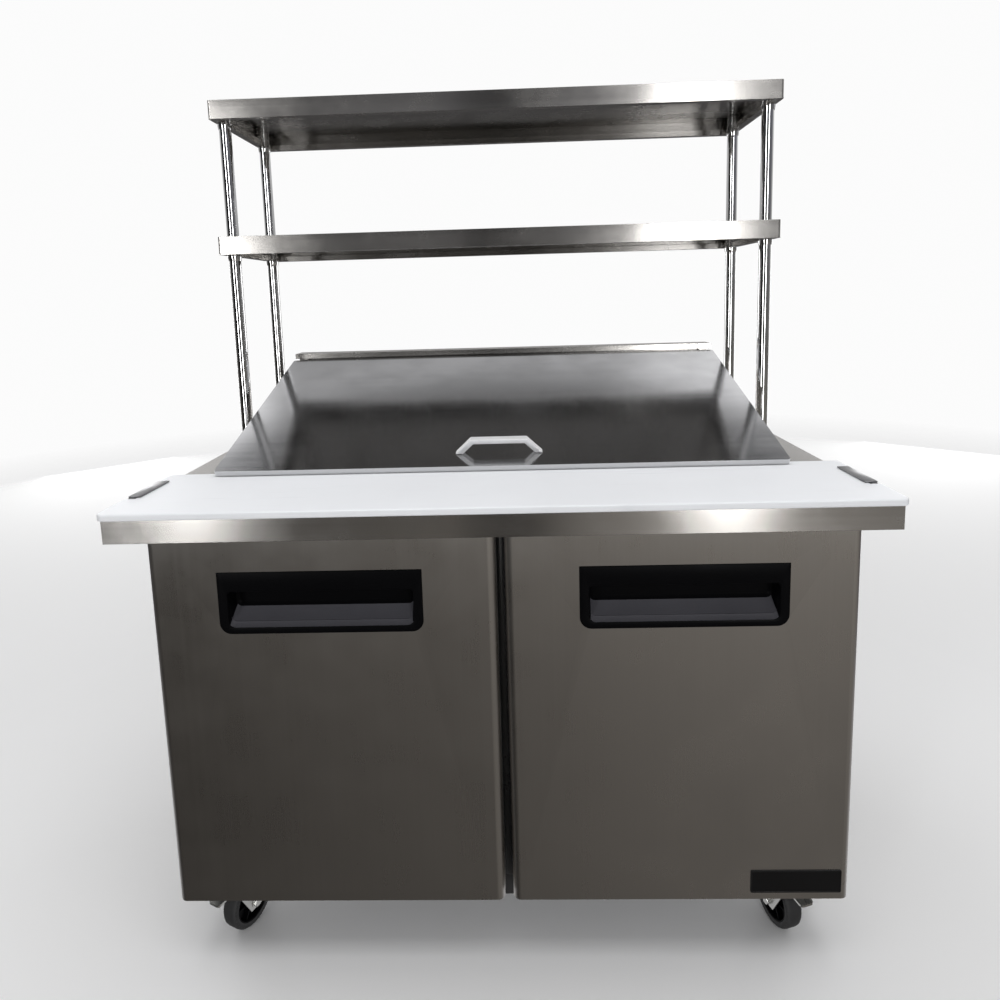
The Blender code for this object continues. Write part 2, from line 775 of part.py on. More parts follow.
def make_lid():
    empty = pivot("lid_pivot", LID_AXIS)
    panel = box(
        "lid_panel", (-LID_HALF, 0, -LID_FLANGE), (LID_HALF, LID_LENGTH, 0), "stainless", "Z", 0.006
    )
    sheet = 0.0012
    cut(panel, box(
        "lid_hollow",
        (-LID_HALF + sheet, sheet, -0.05),
        (LID_HALF - sheet, LID_LENGTH - sheet, -sheet),
        None,
        "Z",
        0.005,
    ))
    webs, barrels, bores = [], [], []
    back, down = LID_AXIS_BACK, LID_AXIS_DOWN
    for x in (-0.40, 0.0, 0.40):
        webs.append(((x - 0.040, back - 0.0055, down), (x + 0.040, LID_LENGTH - 0.0006, -0.0006)))
        barrels.append(((x - 0.040, back, down), (x + 0.040, back, down)))
        bores.append(((x - 0.050, back, down), (x + 0.050, back, down)))
    join(panel, boxes("hinge_webs", webs))
    join(panel, rods("hinge_barrels", barrels, 0.0065))
    cut(panel, rods("hinge_bores", bores, ROD_R + 0.0003))
    liner = box("lid_liner", (-0.4875, 0.055, -0.0285), (0.4875, 0.524, -sheet - GAP), "white_plastic")
    cut(liner, box("liner_hollow", (-0.4850, 0.0575, -0.0260), (0.4850, 0.5215, 0.05)))
    outer = [(-0.0815, 0.0), (-0.0520, 0.0300), (0.0520, 0.0300), (0.0815, 0.0)]
    inner = [(0.0675, 0.0), (0.0475, 0.0205), (-0.0475, 0.0205), (-0.0675, 0.0)]
    bm = bmesh.new()
    near = 0.042
    face = bm.faces.new([bm.verts.new((x, near, z + GAP)) for x, z in outer + inner])
    moved = bmesh.ops.extrude_face_region(bm, geom=[face])["geom"]
    far = [item for item in moved if isinstance(item, bmesh.types.BMVert)]
    bmesh.ops.translate(bm, verts=far, vec=(0, 0.015, 0))
    bmesh.ops.recalc_face_normals(bm, faces=bm.faces)
    handle = add("lid_handle", bm, "cast_handle")
    place(LID_FRAME, panel, liner, handle)
    hang(empty, panel, liner, handle)


# ---- Overshelf ----------------------------------------------------------------------------------
def make_overshelf():
    for name, top in SHELF_TOPS.items():
        low = (-SHELF_HALF, SHELF_FRONT, top - SHELF_BAND)
        high = (SHELF_HALF, SHELF_REAR, top)
        obj = box(name, low, high, "stainless", "Z", 0.006)
        cut(obj, box(
            name + "_under",
            (low[0] + SHEET, low[1] + SHEET, low[2] - 0.01),
            (high[0] - SHEET, high[1] - SHEET, top - SHEET),
            None,
            "Z",
            0.005,
        ))
        bottom = low[2]
        reach = RETURN_IN
        join(obj, ring_z(
            name + "_return",
            (low[0] + 0.001, low[1] + 0.001, bottom),
            (high[0] - 0.001, high[1] - 0.001, bottom + SHEET),
            (low[0] + reach, low[1] + reach),
            (high[0] - reach, high[1] - reach),
        ))
        join(obj, ring_z(
            name + "_upturn",
            (low[0] + reach - SHEET, low[1] + reach - SHEET, bottom),
            (high[0] - reach + SHEET, high[1] - reach + SHEET, bottom + RETURN_UP),
            (low[0] + reach, low[1] + reach),
            (high[0] - reach, high[1] - reach),
        ))
        over = 0.01 if name == "overshelf_lower" else -SHEET
        spans = [
            ((sign * POST_X, y, bottom - 0.01), (sign * POST_X, y, top + over))
            for sign in (-1, 1)
            for y in POST_YS.values()
        ]
        cut(obj, rods(name + "_post_holes", spans, POST_R + 0.0004, sides=20))
    for side, sign in (("left", -1), ("right", 1)):
        for where, y in POST_YS.items():
            x = sign * POST_X
            foot = TABLE_TOP + GAP
            head = SHELF_TOPS["overshelf_upper"] - SHEET - GAP
            name = f"post_{where}_{side}"
            obj = rod(name, (x, y, foot), (x, y, head), POST_R, "polished_tube", sides=20)
            rear = min(y + 0.030, TABLE_REAR - 0.0015)
            join(obj, box(
                name + "_foot",
                (x - 0.0140, y - 0.030, foot),
                (x + 0.0140, rear, foot + 0.003),
            ))
            cut(obj, rod(name + "_bore", (x, y, foot - 0.01), (x, y, head - 0.003), POST_R - SHEET))


# ---- Refrigeration ------------------------------------------------------------------------------
def add_fan(name, centre, radius, hub_r, depth, blades, material):
    """A fan that turns about Y: pitched blades joined to a hub, with its origin on the axis."""
    bm = bmesh.new()
    for i in range(blades):
        turn = Matrix.Rotation(math.tau * i / blades, 4, "Y")
        lean = Matrix.Rotation(math.radians(28), 4, "Z")
        size = Matrix.Diagonal((0.62 * radius * 2 / blades * 1.9, 0.0016, radius - hub_r + 0.004, 1))
        mid = Matrix.Translation((0, 0, (radius + hub_r) / 2 - 0.002))
        bmesh.ops.create_cube(bm, size=1, matrix=turn @ mid @ lean @ size)
    vanes = add(name + "_blades", bm)
    obj = rod(name, (0, -depth / 2, 0), (0, depth / 2, 0), hub_r, material)
    join(obj, vanes)
    place(Matrix.Translation(centre), obj)
    return obj


def make_condensing_unit():
    x, y, z = CONDENSER
    half, reach = 0.160, 0.105
    floor = 0.1421
    top = 0.385
    coil = box("condenser_coil", (x - half, 0.352, floor), (x + half, 0.400, top), "fin_aluminium")
    slots = []
    for i in range(15):
        left = x - half + 0.012 + 0.0205 * i
        slots.append(((left, 0.340, floor + 0.012), (left + 0.011, 0.386, top - 0.012)))
    cut(coil, boxes("coil_slots", slots))
    shroud = box("condenser_shroud", (x - half, 0.3235, floor), (x + half, 0.3515, top), "handle_plastic")
    cut(shroud, rod("shroud_hole", (x, 0.30, z), (x, 0.37, z), reach, sides=32))
    bars = [
        ((x - half, 0.262, z - 0.006), (x + half, 0.268, z + 0.006)),
        ((x - half, 0.2621, z - 0.006), (x - half + 0.004, 0.330, z + 0.006)),
        ((x + half - 0.004, 0.2621, z - 0.006), (x + half, 0.330, z + 0.006)),
    ]
    for number, (low, high) in enumerate(bars):
        join(shroud, box(f"motor_strap_{number}", low, high))
    join(shroud, rod("fan_motor", (x, 0.244, z), (x, 0.298, z), 0.036, sides=20))
    add_fan("condenser_fan", CONDENSER, 0.095, 0.024, 0.030, 5, "galvanised")

    dome = [
        (0.0, 0.205), (0.030, 0.203), (0.055, 0.194), (0.072, 0.176), (0.080, 0.150),
        (0.080, 0.112), (0.084, 0.110), (0.084, 0.102), (0.080, 0.100), (0.080, 0.040),
        (0.070, 0.018), (0.045, 0.006), (0.0, 0.004),
    ]
    body = turned("compressor", dome, "black_enamel", steps=20)
    body.location = (0.29, 0.295, floor)
    join(body, box("compressor_feet", (0.175, 0.225, floor), (0.405, 0.365, floor + 0.022)))
    cut(body, rod("compressor_inside", (0.29, 0.295, floor - 0.01), (0.29, 0.295, floor + 0.165), 0.060))


def make_evaporator():
    wide = 0.300
    low, high = (-wide, 0.270, 0.540), (wide, 0.3700, 0.770)
    z = EVAPORATOR_Z
    obj = box("evaporator_housing", low, high, "white_plastic", "X", 0.010, where=lambda p: p.y < 0.28)
    cut(obj, box(
        "evaporator_space",
        (low[0] + 0.002, low[1] + 0.002, low[2] + 0.002),
        (high[0] - 0.002, 0.40, high[2] - 0.002),
    ))
    cut(obj, rod("evaporator_mouth", (0, 0.25, z), (0, 0.28, z), 0.086, sides=32))
    vents = [((x, 0.290, 0.50), (x + 0.020, 0.350, 0.56)) for x in (-0.26 + 0.04 * i for i in range(13))]
    cut(obj, boxes("evaporator_vents", vents))
    join(obj, box("evaporator_strap", (-wide + 0.001, 0.3135, z - 0.006), (wide - 0.001, 0.3165, z + 0.006)))
    join(obj, rod("evaporator_motor", (0, 0.3080, z), (0, 0.3285, z), 0.028, sides=20))
    coil = box("evaporator_coil", (-0.290, 0.3320, 0.550), (0.290, 0.3680, 0.760), "fin_aluminium")
    slots = []
    for i in range(18):
        left = -0.280 + 0.0312 * i
        slots.append(((left, 0.32, 0.560), (left + 0.020, 0.358, 0.750)))
    cut(coil, boxes("evaporator_slots", slots))
    add_fan("evaporator_fan", (0, EVAPORATOR_FAN_Y, z), 0.076, 0.020, 0.020, 4, "handle_plastic")
    knob = turned(
        "thermostat_knob",
        [(0.0, 0.016), (0.014, 0.016), (0.016, 0.014), (0.018, 0.004), (0.018, 0.0), (0.0, 0.0)],
        "handle_plastic",
        steps=20,
    )
    grip = box("knob_grip", (-0.017, -0.003, 0.014), (0.017, 0.003, 0.019))
    join(knob, grip)
    frame = Matrix.Translation((0.220, 0.270 - GAP, 0.60)) @ Matrix.Rotation(math.pi / 2, 4, "X")
    place(frame, knob)


# ---- Casters ------------------------------------------------------------------------------------
def make_fork(name, brake):
    """Crown, two legs and the axle, with the wheel trailing towards the fork's own -Y."""
    crown_z = 0.1125
    obj = box(f"{name}_fork", (-0.0225, -0.050, crown_z), (0.0225, 0.026, 0.1235), "zinc")
    top = rod(f"{name}_head", (0, 0, 0.115), (0, 0, BODY_BOTTOM - 0.0038 - GAP), 0.029, sides=20)
    join(obj, top)
    axle_y, low = -TRAIL, WHEEL_R - 0.012
    ear = -0.075 if brake else -0.050
    leg = [
        (0.026, 0.1180),
        (0.026, crown_z),
        (axle_y + 0.014, low),
        (axle_y - 0.014, low),
        (ear - 0.006, 0.096),
        (ear - 0.006, 0.1080),
        (ear, 0.1180),
    ]
    for label, x0, x1 in (("left", -0.0225, -0.0195), ("right", 0.0195, 0.0225)):
        join(obj, profile(f"{name}_{label}_leg", leg, x0, x1))
    join(obj, rod(f"{name}_axle", (-0.0255, axle_y, WHEEL_R), (0.0255, axle_y, WHEEL_R), 0.005, sides=12))
    return obj


def make_wheel(name):
    """Rubber-treaded wheel, made about Z and laid on its axle."""
    half, bore = WHEEL_HALF, 0.0054
    outline = [
        (WHEEL_R - 0.004, half),
        (WHEEL_R, half - 0.005),
        (WHEEL_R, -half + 0.005),
        (WHEEL_R - 0.004, -half),
        (0.036, -half),
        (0.033, -half + 0.006),
        (0.018, -half + 0.006),
        (0.014, -half - 0.0020),
        (bore, -half - 0.0020),
        (bore, half + 0.0020),
        (0.014, half + 0.0020),
        (0.018, half - 0.006),
        (0.033, half - 0.006),
        (0.036, half),
    ]
    return turned(f"{name}_wheel", outline, "tread", steps=24, closed=True)


def make_brake(name):
    """Foot pedal between the fork's ears, with its origin on its pin."""
    pedal = box(f"{name}_brake", (-0.014, -0.046, -0.001), (0.014, 0.0, 0.003), "zinc", "Z", 0.006)
    join(pedal, rod(f"{name}_brake_barrel", (-0.0188, 0, 0), (0.0188, 0, 0), 0.0042, sides=12))
    return pedal


def make_casters():
    for where, ((x, y), turn) in CASTERS.items():
        name = f"caster_{where}"
        swivel = pivot(f"{name}_swivel", (x, y, 0), turn)
        frame = swivel.matrix_world.copy()
        brake = where.startswith("front")
        fork = make_fork(name, brake)
        place(frame, fork)
        hang(swivel, fork)
        wheel = make_wheel(name)
        wheel.matrix_world = (
            frame @ Matrix.Translation((0, -TRAIL, WHEEL_R)) @ Matrix.Rotation(math.pi / 2, 4, "Y")
        )
        hang(swivel, wheel)
        if brake:
            pedal = make_brake(name)
            place(frame @ Matrix.Translation((0, -0.074, 0.1035)), pedal)
            hang(swivel, pedal)


clear_scene()
parts = new_collection("sandwich_prep_table")
cutters = new_collection("cutters")
materials = {name: make_material(name) for name in MATERIALS}

make_base_frame()
make_outer_wrap()
make_rear_panels()
make_insulation()
make_inner_liner()
make_face_frame()
make_wire_shelves()
make_doors()
make_worktop()
make_board()
make_pans()
make_hood()
make_lid()
make_overshelf()
make_condensing_unit()
make_evaporator()
make_casters()
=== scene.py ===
"""Looks of a sandwich prep table: its finishes, its finer pieces, the floor, the light and the camera."""

import json
import math

import bmesh
import bpy
from mathutils import Matrix, Vector


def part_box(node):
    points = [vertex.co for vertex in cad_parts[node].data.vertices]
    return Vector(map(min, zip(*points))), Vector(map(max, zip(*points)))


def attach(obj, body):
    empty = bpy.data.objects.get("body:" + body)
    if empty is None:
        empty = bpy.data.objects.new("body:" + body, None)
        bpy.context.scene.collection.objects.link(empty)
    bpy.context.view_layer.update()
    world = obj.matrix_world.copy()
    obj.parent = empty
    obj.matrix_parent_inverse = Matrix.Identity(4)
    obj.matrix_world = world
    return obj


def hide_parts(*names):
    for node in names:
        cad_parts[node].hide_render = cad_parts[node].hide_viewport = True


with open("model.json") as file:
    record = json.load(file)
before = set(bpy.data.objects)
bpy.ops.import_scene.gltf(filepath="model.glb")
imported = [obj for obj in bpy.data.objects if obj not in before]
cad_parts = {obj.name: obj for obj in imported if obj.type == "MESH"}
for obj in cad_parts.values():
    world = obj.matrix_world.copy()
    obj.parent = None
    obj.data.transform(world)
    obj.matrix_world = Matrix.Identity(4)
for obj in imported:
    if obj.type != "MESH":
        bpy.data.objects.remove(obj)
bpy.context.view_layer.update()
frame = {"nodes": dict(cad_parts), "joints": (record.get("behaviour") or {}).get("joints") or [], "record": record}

NODES = frame["nodes"]
SLOT_OF = {row["node"]: row["material_slot"] for row in frame["record"]["subparts"]}
JOINTS = {joint["name"]: joint for joint in frame["joints"]}
CASTER_NAMES = ("front_left", "front_right", "rear_left", "rear_right")
SIDES = ("left", "right")
MATERIALS = {}  # by the name of the finish

# ---- Camera ----
CAMERA_AT = Vector((0.0357, -1.4624, 1.2229))
CAMERA_PITCH = math.radians(7.72)
CAMERA_YAW = math.radians(-1.686)
CAMERA_ROLL = math.radians(-1.648)
SENSOR = 36.0
LENS = 25.5
SHIFT = (0.0039, -0.1085)


def make_camera():
    sideways = Vector((math.cos(CAMERA_YAW), -math.sin(CAMERA_YAW), 0))
    level = Vector((math.sin(CAMERA_YAW), math.cos(CAMERA_YAW), 0))
    forward = level * math.cos(CAMERA_PITCH) - Vector((0, 0, math.sin(CAMERA_PITCH)))
    upward = sideways.cross(forward)
    right = math.cos(CAMERA_ROLL) * sideways + math.sin(CAMERA_ROLL) * upward
    up = math.cos(CAMERA_ROLL) * upward - math.sin(CAMERA_ROLL) * sideways
    data = bpy.data.cameras.new("camera")
    data.sensor_width = SENSOR
    data.lens = LENS
    data.shift_x, data.shift_y = SHIFT
    camera = bpy.data.objects.new("camera", data)
    turn = Matrix((right, up, -forward)).transposed().to_4x4()
    camera.matrix_world = Matrix.Translation(CAMERA_AT) @ turn
    bpy.context.scene.collection.objects.link(camera)
    bpy.context.scene.camera = camera


# ---- Node helpers ----
def add_node(tree, kind, inputs=None, **settings):
    """A shader node. An input given as a socket is linked, and any other value is set."""
    made = tree.nodes.new("ShaderNode" + kind)
    for key, value in settings.items():
        setattr(made, key, value)
    for key, value in (inputs or {}).items():
        if isinstance(value, bpy.types.NodeSocket):
            tree.links.new(value, made.inputs[key])
        else:
            made.inputs[key].default_value = value
    return made


def placed(tree, scale=(1, 1, 1), turn=(0, 0, 0)):
    """Object coordinates, stretched and turned."""
    source = add_node(tree, "TexCoord").outputs["Object"]
    inputs = {"Vector": source, "Scale": scale, "Rotation": turn}
    return add_node(tree, "Mapping", inputs).outputs["Vector"]


def noise(tree, vector, scale, detail=3.0, roughness=0.55, distortion=0.0):
    inputs = {"Vector": vector, "Scale": scale, "Detail": detail, "Roughness": roughness}
    inputs["Distortion"] = distortion
    return add_node(tree, "TexNoise", inputs).outputs["Fac"]


def span(tree, value, low, high, start=0.0, end=1.0):
    """Maps value from start..end to low..high, and holds it there."""
    inputs = {"Value": value, "From Min": start, "From Max": end, "To Min": low, "To Max": high}
    return add_node(tree, "MapRange", inputs).outputs["Result"]


def math_node(tree, operation, first, second=0.0, third=0.0):
    inputs = {0: first, 1: second, 2: third}
    return add_node(tree, "Math", inputs, operation=operation).outputs[0]


def tint(tree, factor, dark, light, start=0.0, end=1.0):
    """A colour between dark and light by factor."""
    made = add_node(tree, "ValToRGB", {"Fac": factor})
    made.color_ramp.elements[0].position = start
    made.color_ramp.elements[0].color = (*dark, 1)
    made.color_ramp.elements[1].position = end
    made.color_ramp.elements[1].color = (*light, 1)
    return made.outputs["Color"]


def layered(tree, factor, under, over, blend="MIX"):
    inputs = {"Fac": factor, "Color1": under, "Color2": over}
    return add_node(tree, "MixRGB", inputs, blend_type=blend).outputs["Color"]


def bumped(tree, height, strength, depth, normal=None):
    inputs = {"Height": height, "Strength": strength, "Distance": depth}
    if normal:
        inputs["Normal"] = normal
    return add_node(tree, "Bump", inputs).outputs["Normal"]


def edges_of(tree, low=0.52, high=0.6):
    """1 along sharp outer edges, which are worn and carry a painted highlight, and 0 elsewhere."""
    pointed = add_node(tree, "NewGeometry").outputs["Pointiness"]
    return span(tree, pointed, 0.0, 1.0, low, high)


def rub_and_highlight_edges(tree, under, amount, colour):
    return layered(tree, math_node(tree, "MULTIPLY", edges_of(tree), amount), under, (*colour, 1))


def new_material(name, metallic=0.0, roughness=0.5, **constants):
    """Adds a material to the finishes, and gives its tree and its shader."""
    material = MATERIALS[name] = bpy.data.materials.new(name)
    material.use_nodes = True
    shader = material.node_tree.nodes["Principled BSDF"]
    shader.inputs["Metallic"].default_value = metallic
    shader.inputs["Roughness"].default_value = roughness
    for key, value in constants.items():
        shader.inputs[key.replace("_", " ")].default_value = value
    return material.node_tree, shader


def join_up(tree, shader, **sockets):
    for key, value in sockets.items():
        tree.links.new(value, shader.inputs[key.replace("_", " ")])


def scaled(colour, factor):
    return tuple(min(1.0, channel * factor) for channel in colour)


# ---- Finishes ----
GRAIN_ALONG = 3.0  # scale of the fine lines
GRAIN_ACROSS = 600.0
COARSE = 0.15  # the coarse lines' scale, as a share of the fine ones'


def brushed(name, colour, roughness, grain, anisotropy=0.75, waves=0.0, marks=0.06):
    """Brushed sheet steel: fine lines along one axis, a smear of light across them, handling marks."""
    tree, shader = new_material(name, 1.0, roughness, Anisotropic=anisotropy)
    scale = [GRAIN_ACROSS] * 3
    scale["XYZ".index(grain)] = GRAIN_ALONG
    lines = noise(tree, placed(tree, scale), 1.0, 2.0, 0.6)
    long_lines = noise(tree, placed(tree, [s * COARSE for s in scale]), 1.0, 2.0)
    smudge = noise(tree, placed(tree), 2.3, 3.0, 0.5, 0.3)
    rubbed = noise(tree, placed(tree), 9.0, 4.0, 0.6)
    both = math_node(tree, "MULTIPLY", long_lines, 0.5)
    mixed = math_node(tree, "MULTIPLY_ADD", lines, 0.5, both)
    base = tint(tree, mixed, scaled(colour, 0.955), scaled(colour, 1.045), 0.3, 0.7)
    marked = layered(tree, span(tree, smudge, 0.0, 1.0, 0.46, 0.8), base, (*scaled(colour, 1 - marks), 1))
    # Sharp edges turn paler: partly wear, partly a painted highlight that stands in for rounded edges catching the
    # light.
    worn_and_highlit = rub_and_highlight_edges(tree, marked, 0.6, scaled(colour, 1.6))
    varied = span(tree, rubbed, -0.4 * marks, marks, 0.4, 0.75)
    rough = math_node(tree, "ADD", span(tree, mixed, roughness - 0.015, roughness + 0.015, 0.3, 0.7), varied)
    normal = bumped(tree, long_lines, 0.04, 0.0001)
    if waves:
        swell = noise(tree, placed(tree, (1.0, 1.0, 1.6)), 3.4, 1.0, 0.4)
        normal = bumped(tree, swell, 1.0, waves, normal)
    tangent = add_node(tree, "Tangent", direction_type="RADIAL", axis=grain).outputs["Tangent"]
    join_up(tree, shader, Base_Color=worn_and_highlit, Roughness=rough, Normal=normal, Tangent=tangent)


def plain_metal(name, colour, roughness, patch_scale=9.0, metallic=1.0):
    """Plated, cast or polished metal: faint clouding, tiny pits and bright edges."""
    tree, shader = new_material(name, metallic, roughness)
    cloud = noise(tree, placed(tree), patch_scale, 5.0, 0.6)
    fine = noise(tree, placed(tree), 900.0, 2.0)
    base = tint(tree, cloud, scaled(colour, 0.93), scaled(colour, 1.05), 0.3, 0.7)
    worn_and_highlit = rub_and_highlight_edges(tree, base, 0.5, scaled(colour, 1.35))
    rough = span(tree, cloud, roughness * 0.88, roughness * 1.15, 0.3, 0.7)
    join_up(tree, shader, Base_Color=worn_and_highlit, Roughness=rough, Normal=bumped(tree, fine, 0.03, 0.0001))


def spangled(name, colour):
    """Galvanised sheet, with its crystal pattern."""
    tree, shader = new_material(name, 0.9, 0.45)
    inputs = {"Vector": placed(tree), "Scale": 130.0, "Randomness": 1.0}
    cells = add_node(tree, "TexVoronoi", inputs).outputs["Color"]
    grey = add_node(tree, "RGBToBW", {"Color": cells}).outputs["Val"]
    dust = noise(tree, placed(tree), 6.0, 5.0, 0.6)
    base = tint(tree, grey, scaled(colour, 0.84), scaled(colour, 1.1), 0.15, 0.85)
    dirty = layered(tree, span(tree, dust, 0.0, 0.3, 0.5, 0.75), base, (*scaled(colour, 0.7), 1))
    rough = span(tree, grey, 0.34, 0.58)
    join_up(tree, shader, Base_Color=dirty, Roughness=rough, Normal=bumped(tree, grey, 0.1, 0.0003))


def moulded(name, colour, roughness, grain_scale=700.0, depth=0.00012, worn_edge=1.0, **constants):
    """Moulded plastic, rubber or paint: a fine skin texture, clouding, and edges that rub paler."""
    tree, shader = new_material(name, 0.0, roughness, **constants)
    skin = noise(tree, placed(tree), grain_scale, 3.0, 0.6)
    cloud = noise(tree, placed(tree), 7.0, 5.0, 0.62)
    base = tint(tree, cloud, scaled(colour, 0.92), scaled(colour, 1.06), 0.3, 0.72)
    paler = tuple(channel + (0.35 - channel) * 0.25 * worn_edge for channel in colour)
    worn_and_highlit = rub_and_highlight_edges(tree, base, 0.5 * worn_edge, paler)
    rough = span(tree, cloud, roughness - 0.06, roughness + 0.08, 0.3, 0.7)
    join_up(tree, shader, Base_Color=worn_and_highlit, Roughness=rough, Normal=bumped(tree, skin, 0.3, depth))


def board_plastic(name, colour):
    """White cutting board: a pebbled matt face, with shallow knife lines in several directions."""
    tree, shader = new_material(name, 0.0, 0.42, Subsurface_Weight=0.08)
    shader.inputs["Subsurface Radius"].default_value = (0.006, 0.006, 0.006)
    pebble = noise(tree, placed(tree), 420.0, 2.0)
    cloud = noise(tree, placed(tree), 2.3, 5.0, 0.6)
    scratches = None
    for angle, seed in ((8, 0.0), (-21, 3.0), (64, 7.0), (97, 11.0)):
        vector = placed(tree, (5.0, 190.0, 1.0), (0, 0, math.radians(angle)))
        line = span(tree, noise(tree, vector, 1.0 + seed * 0.01, 2.0, 0.4), 0.0, 1.0, 0.69, 0.74)
        patch = span(tree, noise(tree, placed(tree), 3.0 + seed, 2.0), 0.0, 1.0, 0.47, 0.62)
        cut = math_node(tree, "MULTIPLY", line, patch)
        scratches = cut if scratches is None else math_node(tree, "MAXIMUM", scratches, cut)
    base = tint(tree, cloud, scaled(colour, 0.955), colour, 0.32, 0.6)
    marked = layered(tree, math_node(tree, "MULTIPLY", scratches, 0.2), base, (0.5, 0.52, 0.55, 1))
    rough = math_node(tree, "ADD", span(tree, cloud, 0.36, 0.48), math_node(tree, "MULTIPLY", scratches, 0.2))
    height = math_node(tree, "SUBTRACT", math_node(tree, "MULTIPLY", pebble, 0.35), scratches)
    join_up(tree, shader, Base_Color=marked, Roughness=rough, Normal=bumped(tree, height, 0.25, 0.0002))


def foam_material(name, colour):
    tree, shader = new_material(name, 0.0, 0.9)
    cells = noise(tree, placed(tree), 260.0, 4.0, 0.7)
    cloud = noise(tree, placed(tree), 9.0, 4.0)
    base = tint(tree, cloud, scaled(colour, 0.75), colour, 0.3, 0.7)
    join_up(tree, shader, Base_Color=base, Normal=bumped(tree, cells, 0.6, 0.0008))


STEEL = (0.47, 0.455, 0.435)
BLACK = (0.0028, 0.0028, 0.0034)


def make_finishes():
    brushed("stainless", STEEL, 0.24, "X", 0.8)
    brushed("stainless_upright", STEEL, 0.3, "Z", 0.8, 0.0006)
    brushed("stainless_lid", (0.5, 0.5, 0.505), 0.13, "X", 0.45, 0.0, 0.03)
    brushed("clip_steel", (0.2, 0.2, 0.205), 0.34, "Y", 0.6)
    plain_metal("polished_tube", (0.78, 0.78, 0.79), 0.05, 20.0)
    plain_metal("cast_handle", (0.84, 0.84, 0.85), 0.3, 30.0, 0.3)
    board_plastic("cutting_board", (0.85, 0.863, 0.888))
    moulded("handle_plastic", BLACK, 0.36, worn_edge=0.15, Specular_IOR_Level=0.05)
    # A paler copy of the black handle plastic: painted light on the scoop's upward faces.
    moulded("scoop_painted_light", (0.084, 0.083, 0.096), 0.5, 380.0, 0.0003)
    moulded("gasket", (0.03, 0.03, 0.031), 0.62)
    plain_metal("liner", (0.66, 0.67, 0.68), 0.4, 4.0, 0.6)
    foam_material("foam", (0.78, 0.68, 0.42))
    plain_metal("pan_steel", (0.66, 0.66, 0.66), 0.2, 14.0)
    spangled("galvanised", (0.5, 0.51, 0.52))
    moulded("coated_wire", (0.8, 0.8, 0.79), 0.28, 200.0, 0.0002, 0.0)
    # A darker copy of the steel for downward faces: painted shade under the shelves.
    brushed("stainless_painted_shade", scaled(STEEL, 0.45), 0.26, "X", 0.8)
    moulded("black_enamel", (0.016, 0.016, 0.017), 0.3, 260.0, 0.0002)
    plain_metal("fin_aluminium", (0.72, 0.73, 0.74), 0.36)
    moulded("white_plastic", (0.8, 0.8, 0.78), 0.4, 500.0, 0.0001, 0.0)
    moulded("plate_black", BLACK, 0.42, 900.0, 0.00005, 0.6, Specular_IOR_Level=0.3)
    plain_metal("zinc", (0.6, 0.6, 0.58), 0.28, 60.0)
    moulded("tread", (0.022, 0.022, 0.023), 0.66, 500.0, 0.0002)
    plain_metal("copper", (0.72, 0.36, 0.2), 0.26, 40.0)


# The CAD nodes whose finish is not their slot's, and those whose undersides get painted shade.
UPRIGHT = "stainless_upright"
FINISH_OF = {"lid_panel": "stainless_lid", "outer_wrap": UPRIGHT, "back_panel": UPRIGHT}
PAINTED_SHADE_NODES = ("overshelf_upper", "overshelf_lower")


# ---- CAD nodes ----
SAME_POINT = 0.00002


def modify(obj, kind, **settings):
    modifier = obj.modifiers.new(kind.lower(), kind)
    for key, value in settings.items():
        setattr(modifier, key, value)


def soften(obj, width, segments=2, angle=32, flat=False):
    """Flat faces become whole again and get rounded edges, by modifiers."""
    modify(obj, "WELD", merge_threshold=SAME_POINT)
    modify(obj, "DECIMATE", decimate_type="DISSOLVE", angle_limit=math.radians(0.5))
    angle = math.radians(angle)
    modify(obj, "BEVEL", width=width, segments=segments, limit_method="ANGLE", angle_limit=angle)
    if flat:
        modify(obj, "EDGE_SPLIT", split_angle=math.radians(20), use_edge_sharp=False)
    modify(obj, "WEIGHTED_NORMAL", mode="FACE_AREA", weight=100)
    obj.data.polygons.foreach_set("use_smooth", [True] * len(obj.data.polygons))


# Width of the rounded edge, its segments, the least angle that gets one, and whether faces stay flat.
SHEET_EDGE = (0.0005, 2, 32, True)
EDGES = {
    "cutting_board": (0.003, 4),
    "lid_panel": (0.001, 2, 32, True),
    "lid_handle": (0.0022, 3, 20),
    "evaporator_housing": (0.002, 3),
    "condenser_shroud": (0.001,),
    "lid_liner": (0.002, 3),
    "left_door_liner": (0.0012,),
    "right_door_liner": (0.0012,),
}


def dress_nodes():
    for name, obj in NODES.items():
        shade_below = name in PAINTED_SHADE_NODES
        obj.data.materials.clear()
        obj.data.materials.append(MATERIALS[FINISH_OF.get(name, SLOT_OF[name])])
        if shade_below:
            obj.data.materials.append(MATERIALS["stainless_painted_shade"])
        # Downward faces of these shelves take the darker copy, as painted shade.
        for polygon in obj.data.polygons:
            polygon.material_index = int(shade_below and polygon.normal.z < -0.9)
        soften(obj, *EDGES.get(name, SHEET_EDGE))


# ---- Shape helpers ----
def outline(low_u, high_u, low_v, high_v, radius, top_radius=None, steps=6):
    """Points round a rectangle with rounded corners, the way a clock runs backwards."""
    top = radius if top_radius is None else top_radius
    corners = (
        (high_u - radius, low_v + radius, radius, -90),
        (high_u - top, high_v - top, top, 0),
        (low_u + top, high_v - top, top, 90),
        (low_u + radius, low_v + radius, radius, 180),
    )
    points = []
    for u, v, r, start in corners:
        for i in range(steps + 1):
            angle = math.radians(start + 90 * i / steps)
            points.append((u + r * math.cos(angle), v + r * math.sin(angle)))
    return points


def level_loop(low, high, inset, z, radius, steps=5):
    """A box's outline from above, shrunk by inset, at one height."""
    flat = outline(low.x + inset, high.x - inset, low.y + inset, high.y - inset, radius, steps=steps)
    return [Vector((x, y, z)) for x, y in flat]


